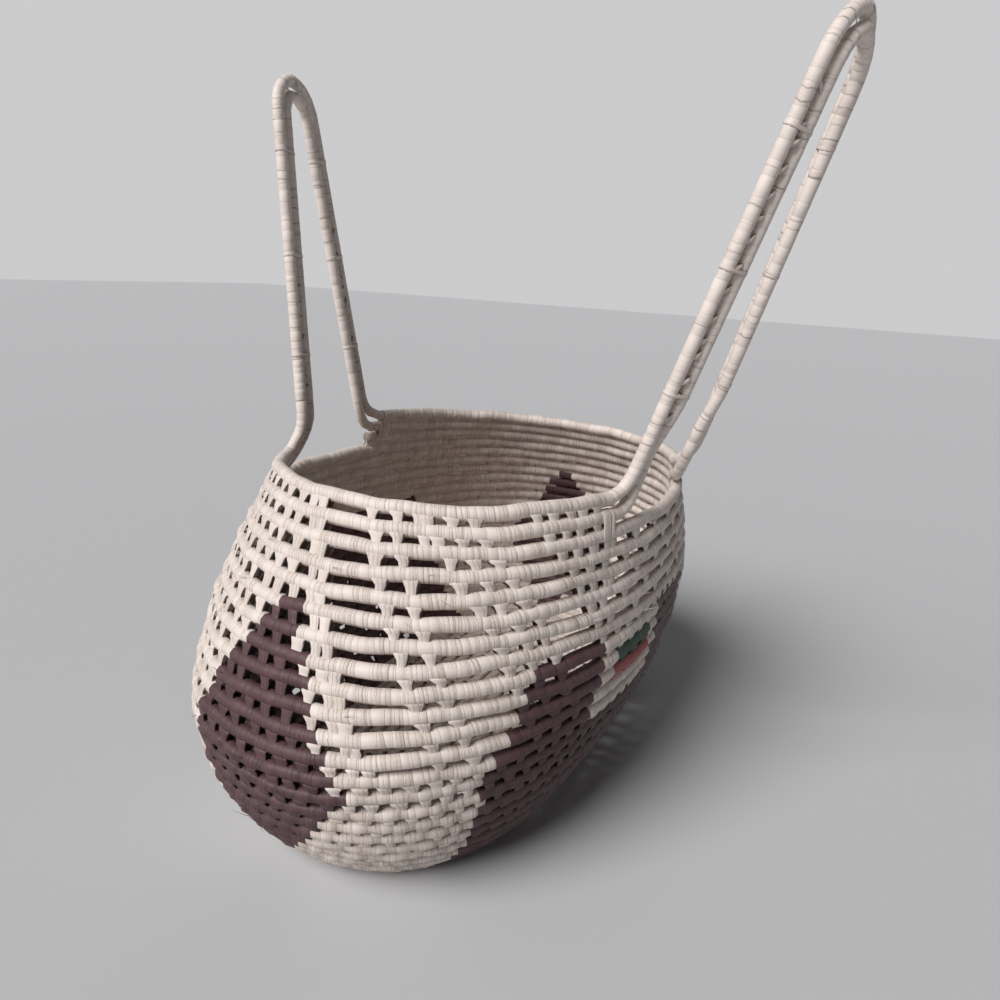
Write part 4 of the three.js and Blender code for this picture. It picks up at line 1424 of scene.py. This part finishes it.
def stray_fibres(skin, rng, first, last):
    """Loose ends of fibre that stand off the coil."""
    for turn in rng.uniform(first, last, FIBRES_PER_ROUND * (last - first)):
        outward = coil_normal(turn)
        along = coil_direction(turn) * rng.choice([-1, 1])
        tilt = rng.uniform(-FIBRE_TILT, FIBRE_TILT)
        tilted = math.cos(tilt) * outward + math.sin(tilt) * UP
        start = coil_point(turn) + FIBRE_START * COIL_RADIUS * tilted
        length = rng.uniform(*FIBRE_LENGTHS)
        t = np.linspace(0, 1, FIBRE_STEPS)[:, None]
        rise = rng.uniform(*FIBRE_RISES) * outward + rng.uniform(*FIBRE_LIFTS) * UP
        path = start + length * (t * along * rng.uniform(*FIBRE_RUNS) + (t - FIBRE_SAG * t * t) * rise)
        side = unit(np.cross(along, outward))
        across = rng.uniform(*FIBRE_WIDTHS) * (1 - FIBRE_TAPER * t)
        corners = [path - across * side, path + across * outward * FIBRE_RIDGE, path + across * side]
        corners = np.stack(corners, 1).reshape(-1, 3)
        quads = tube_quads(FIBRE_STEPS, FIBRE_SIDES)
        count = FIBRE_SIDES * FIBRE_STEPS
        strip = np.full((count, 3), FIBRE_GRAIN)
        tone = np.full(len(quads), FIBRE_TONE)
        finish = int(motif(turn))
        ends = skin.count + np.array([[0, 2, 1], [count - 3, count - 2, count - 1]])
        skin.add(corners, strip, np.zeros(count), quads, tone, np.full(len(quads), finish))
        skin.add_triangles(ends, FIBRE_TONE, finish)


def sew(skin, low_turns, low_round, high_turns, high_round, rng, sizes, finish):
    low = coil_point(low_turns, low_round)
    high = coil_point(high_turns, high_round)
    squeeze = squeeze_at(low_turns) if low_round == 0 else np.ones(low_turns.size)
    depth = np.where(on_far_wall(low_turns), FAR_DEPTH, 1.0)
    direction = coil_direction(low_turns, low_round)
    stitch_loops(skin, low, high, direction, rng, sizes, finish, squeeze, depth=depth)


def rim_stitches():
    """Turns of the stitches between the last whole round and the two rim rounds above it."""
    row = WALL_ROUNDS - 1
    for rim_round, reach in ((0, 0.5 * STRAND_STEP), (1, RIM_STITCH_REACH)):
        turns = row_turns(row + rim_round) - rim_round
        for end in RIM_ENDS:
            first, last = rim_span(end, reach)
            yield turns[(turns > first) & (turns < last)], rim_round


class BASKET_OT_base_stitches(bpy.types.Operator):
    """Sew the rounds of the base together"""

    bl_idname = "basket.base_stitches"
    bl_label = "Base Stitches"

    def execute(self, context):
        rng = np.random.default_rng(RNG_SEED + 4)
        stitches = context.scene.basket_stitches
        sizes = np.array([stitches.top_width, stitches.waist_width, stitches.band_width])
        sizes = sizes * stitches.tight_share
        skin = Skin()
        for row in range(-BASE_ROUNDS, 0):
            ring = base_spiral(np.linspace(row, row + 1, BASE_STEPS_PER_TURN))
            lengths = run_lengths(ring)
            at_edge = row == -1
            count = int(lengths[-1] / (EDGE_SPACING if at_edge else BASE_SPACING))
            places = (np.arange(count) + 0.5 * (row % 2)) / count * lengths[-1]
            turns = row + np.interp(places, lengths, np.linspace(0, 1, BASE_STEPS_PER_TURN))
            low = base_spiral(turns)
            high = base_spiral(turns + 1) if row < -1 else coil_point(np.maximum(turns + 1, 0))
            direction = unit(base_spiral(turns - 0.001) - base_spiral(turns + 0.001))
            widths = np.full(3, EDGE_WIDTH) if at_edge else sizes
            stitch_loops(skin, low, high, direction, rng, widths, plain(turns), np.ones(turns.size))
        piece = skin.piece("base_stitches", finishes(context))
        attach(piece, "basket")
        return {"FINISHED"}


class BASKET_OT_handles(bpy.types.Operator):
    """Wrap the two strands of each handle, which bend where they leave the rim"""

    bl_idname = "basket.handles"
    bl_label = "Handles"

    def execute(self, context):
        rng = np.random.default_rng(RNG_SEED + 5)
        wraps = context.scene.basket_wraps
        for side in ("left", "right"):
            handle = Handle(side)
            for strand, inset in (("outer", 0.0), ("inner", STRAND_STEP)):
                skin = Skin()
                line = handle.strand(inset)
                wrapped_tube(
                    skin, line, rng, wraps, plain, wraps.handle_width, HANDLE_SLANT, handle.plump,
                    grain=HANDLE_GRAIN, edge=HANDLE_EDGE, wear=HANDLE_WEAR,
                )
                piece = skin.piece(f"{side}_{strand}_strand", finishes(context))
                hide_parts(f"{side}_handle_{strand}_strand")
                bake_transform(piece)
        return {"FINISHED"}


class BASKET_OT_handle_ties(bpy.types.Operator):
    """Lace the two strands of each handle together and bind them with ties"""

    bl_idname = "basket.handle_ties"
    bl_label = "Handle Ties"

    def execute(self, context):
        rng = np.random.default_rng(RNG_SEED + 6)
        for side in ("left", "right"):
            handle = Handle(side)
            self.lace(context, handle, rng)
            self.tie(context, handle, rng)
        return {"FINISHED"}

    def lace(self, context, handle, rng):
        outer_points = handle.strand_points(0.0)
        inner_points = handle.strand_points(STRAND_STEP)
        line = Line(inner_points, np.tile(handle.face, (len(inner_points), 1)))
        share = np.linspace(0, 1, len(inner_points))
        places = np.concatenate([
            np.arange(first * line.total, last * line.total, LACE_SPACING)
            for first, last in LACED[handle.side]
        ])
        places = places + rng.normal(0, LACE_JITTER, places.size)
        index = np.interp(places, line.lengths, share)
        low = read_points(index, share, inner_points)
        high = read_points(index, share, outer_points)
        direction = unit(line.read(line.directions, places))
        skin = Skin()
        squeeze = np.ones(places.size)
        stitch_loops(
            skin, low, high, direction, rng, LACE_WIDTHS, plain(places), squeeze, LACE_SKEW, bulk=LACE_BULK
        )
        piece = skin.piece(f"{handle.side}_lacing", finishes(context))
        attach(piece, f"{handle.side}_handle")

    def tie(self, context, handle, rng):
        strands = [handle.strand_points(inset) for inset in (0.0, STRAND_STEP)]
        last = len(strands[0]) - 1
        spots = [round((i + TIE_PLACE) / TIES_PER_LEG * LEG_STEPS) for i in range(TIES_PER_LEG)]
        spots += [last - spot for spot in spots] + [last // 2]
        for number, spot in enumerate(spots, 1):
            ends = [points[spot] for points in strands]
            direction = unit(strands[0][spot + 1] - strands[0][spot - 1])
            self.bind(context, handle, number, ends, direction, rng)

    def bind(self, context, handle, number, ends, direction, rng):
        skin = Skin()
        widths = rng.uniform(*TIE_WIDTHS, 1)
        bindings(skin, *ends, direction, rng, widths, TIE_THICKNESS, STRAND_PLUMP[handle.side])
        piece = skin.piece(f"{handle.side}_tie_{number}", finishes(context))
        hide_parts(f"{handle.side}_handle_tie_{number}")
        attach(piece, f"{handle.side}_handle")


class BASKET_OT_lashings(bpy.types.Operator):
    """Bind the second round to the round below it at the four feet of the handles"""

    bl_idname = "basket.lashings"
    bl_label = "Lashings"

    def execute(self, context):
        rng = np.random.default_rng(RNG_SEED + 7)
        for name, degrees in FOOT_ANGLES.items():
            into = -1 if name in ("near_left", "far_right") else 1
            turn = along_rim(rim_turn(degrees), -into * STRAND_STEP / 2)
            low = coil_point(turn, 0)
            high = coil_point(turn, 1)
            skin = Skin()
            direction = coil_direction(turn, 0)
            widths = rng.uniform(*LASHING_WIDTHS, LASHING_BANDS)
            bindings(skin, high, low, direction, rng, widths, LASHING_THICKNESS, UPPER_PLUMP)
            piece = skin.piece(f"{name}_lashing", finishes(context))
            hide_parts(f"{name}_foot_lashing")
            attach(piece, "basket")
        return {"FINISHED"}


class BASKET_OT_stage(bpy.types.Operator):
    """Lay the floor and set the lamps and the camera"""

    bl_idname = "basket.stage"
    bl_label = "Stage"

    def execute(self, context):
        stage = context.scene.basket_stage
        mesh = bpy.data.meshes.new("floor")
        corners = [(FLOOR_REACH * x, FLOOR_REACH * y, 0) for x, y in ((-1, -1), (1, -1), (1, 1), (-1, 1))]
        mesh.from_pydata(corners, [], [(0, 1, 2, 3)])
        floor = placed("floor", mesh)
        material = bpy.data.materials.new("Pale Floor")
        material.use_nodes = True
        shader = material.node_tree.nodes["Principled BSDF"]
        shader.inputs["Base Color"].default_value = (*stage.floor, 1)
        shader.inputs["Roughness"].default_value = FLOOR_ROUGHNESS
        mesh.materials.append(material)
        floor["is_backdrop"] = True
        add_sun(stage)
        add_world(stage)
        add_camera()
        return {"FINISHED"}


def add_sun(stage):
    lamp = bpy.data.lights.new("key", "SUN")
    lamp.energy = stage.key
    lamp.angle = stage.key_size
    obj = placed("key", lamp)
    obj.location = KEY_FROM
    obj.rotation_euler = Vector(KEY_FROM).to_track_quat("Z", "Y").to_euler()


def add_world(stage):
    world = bpy.data.worlds.new("Studio")
    world.use_nodes = True
    tree = world.node_tree
    tree.nodes.clear()
    light = tree.nodes.new("ShaderNodeBackground")
    light.inputs["Color"].default_value = FILL_COLOUR
    light.inputs["Strength"].default_value = stage.fill
    seen = tree.nodes.new("ShaderNodeBackground")
    seen.inputs["Color"].default_value = (*stage.background, 1)
    path = tree.nodes.new("ShaderNodeLightPath")
    either = maths(tree, "MAXIMUM", path.outputs["Is Camera Ray"], path.outputs["Is Glossy Ray"])
    either = maths(tree, "MAXIMUM", either, path.outputs["Is Transmission Ray"])
    mix = tree.nodes.new("ShaderNodeMixShader")
    out = tree.nodes.new("ShaderNodeOutputWorld")
    link(tree, either, mix.inputs[0])
    link(tree, light.outputs[0], mix.inputs[1])
    link(tree, seen.outputs[0], mix.inputs[2])
    link(tree, mix.outputs[0], out.inputs["Surface"])
    bpy.context.scene.world = world
    bpy.context.scene.view_settings.view_transform = "Standard"


def add_camera():
    camera = bpy.data.cameras.new("camera")
    camera.sensor_fit = "HORIZONTAL"
    camera.sensor_width = CAMERA_SENSOR
    camera.lens = CAMERA_LENS
    camera.clip_start = CAMERA_CLIP
    obj = placed("camera", camera)
    level = Vector((math.cos(CAMERA_HEADING), math.sin(CAMERA_HEADING), 0))
    forward = level * math.cos(CAMERA_PITCH) - Vector((0, 0, 1)) * math.sin(CAMERA_PITCH)
    right = forward.cross(Vector((0, 0, 1))).normalized()
    upward = right.cross(forward)
    rolled_right = right * math.cos(CAMERA_ROLL) + upward * math.sin(CAMERA_ROLL)
    rolled_up = upward * math.cos(CAMERA_ROLL) - right * math.sin(CAMERA_ROLL)
    turn = Matrix((rolled_right, rolled_up, -forward)).transposed().to_4x4()
    obj.matrix_world = Matrix.Translation(CAMERA_PLACE) @ turn
    bpy.context.scene.camera = obj


class BASKET_PT_panel(bpy.types.Panel):
    """Lists the steps that build the basket"""

    bl_idname = "BASKET_PT_panel"
    bl_label = "Raffia Basket"
    bl_space_type = "VIEW_3D"
    bl_region_type = "UI"
    bl_category = "Basket"

    def draw(self, context):
        for group in SETTINGS:
            settings = getattr(context.scene, group)
            for name in settings.bl_rna.properties.keys():
                if name not in ("rna_type", "name"):
                    self.layout.prop(settings, name)
        for operator in OPERATORS:
            self.layout.operator(operator.bl_idname)


OPERATORS = (
    BASKET_OT_base,
    BASKET_OT_wall,
    BASKET_OT_rim,
    BASKET_OT_stitches,
    BASKET_OT_base_stitches,
    BASKET_OT_handles,
    BASKET_OT_handle_ties,
    BASKET_OT_lashings,
    BASKET_OT_stage,
)
SETTINGS = {
    "basket_colours": BasketColours,
    "basket_wraps": BasketWraps,
    "basket_stitches": BasketStitches,
    "basket_stage": BasketStage,
}


def register():
    for group in SETTINGS.values():
        bpy.utils.register_class(group)
    for name, group in SETTINGS.items():
        setattr(bpy.types.Scene, name, bpy.props.PointerProperty(type=group))
    for operator in OPERATORS:
        bpy.utils.register_class(operator)
    bpy.utils.register_class(BASKET_PT_panel)


def unregister():
    bpy.utils.unregister_class(BASKET_PT_panel)
    for operator in reversed(OPERATORS):
        bpy.utils.unregister_class(operator)
    for name, group in SETTINGS.items():
        delattr(bpy.types.Scene, name)
        bpy.utils.unregister_class(group)


def main():
    register()
    bpy.ops.basket.base()
    bpy.ops.basket.wall()
    bpy.ops.basket.rim()
    bpy.ops.basket.stitches()
    bpy.ops.basket.base_stitches()
    bpy.ops.basket.handles()
    bpy.ops.basket.handle_ties()
    bpy.ops.basket.lashings()
    bpy.ops.basket.stage()
    boxes = {"cad": CAD_BOX, "visual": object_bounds()}
    {name: [list(corner) for corner in box] for name, box in boxes.items()}


if __name__ == "__main__":
    main()
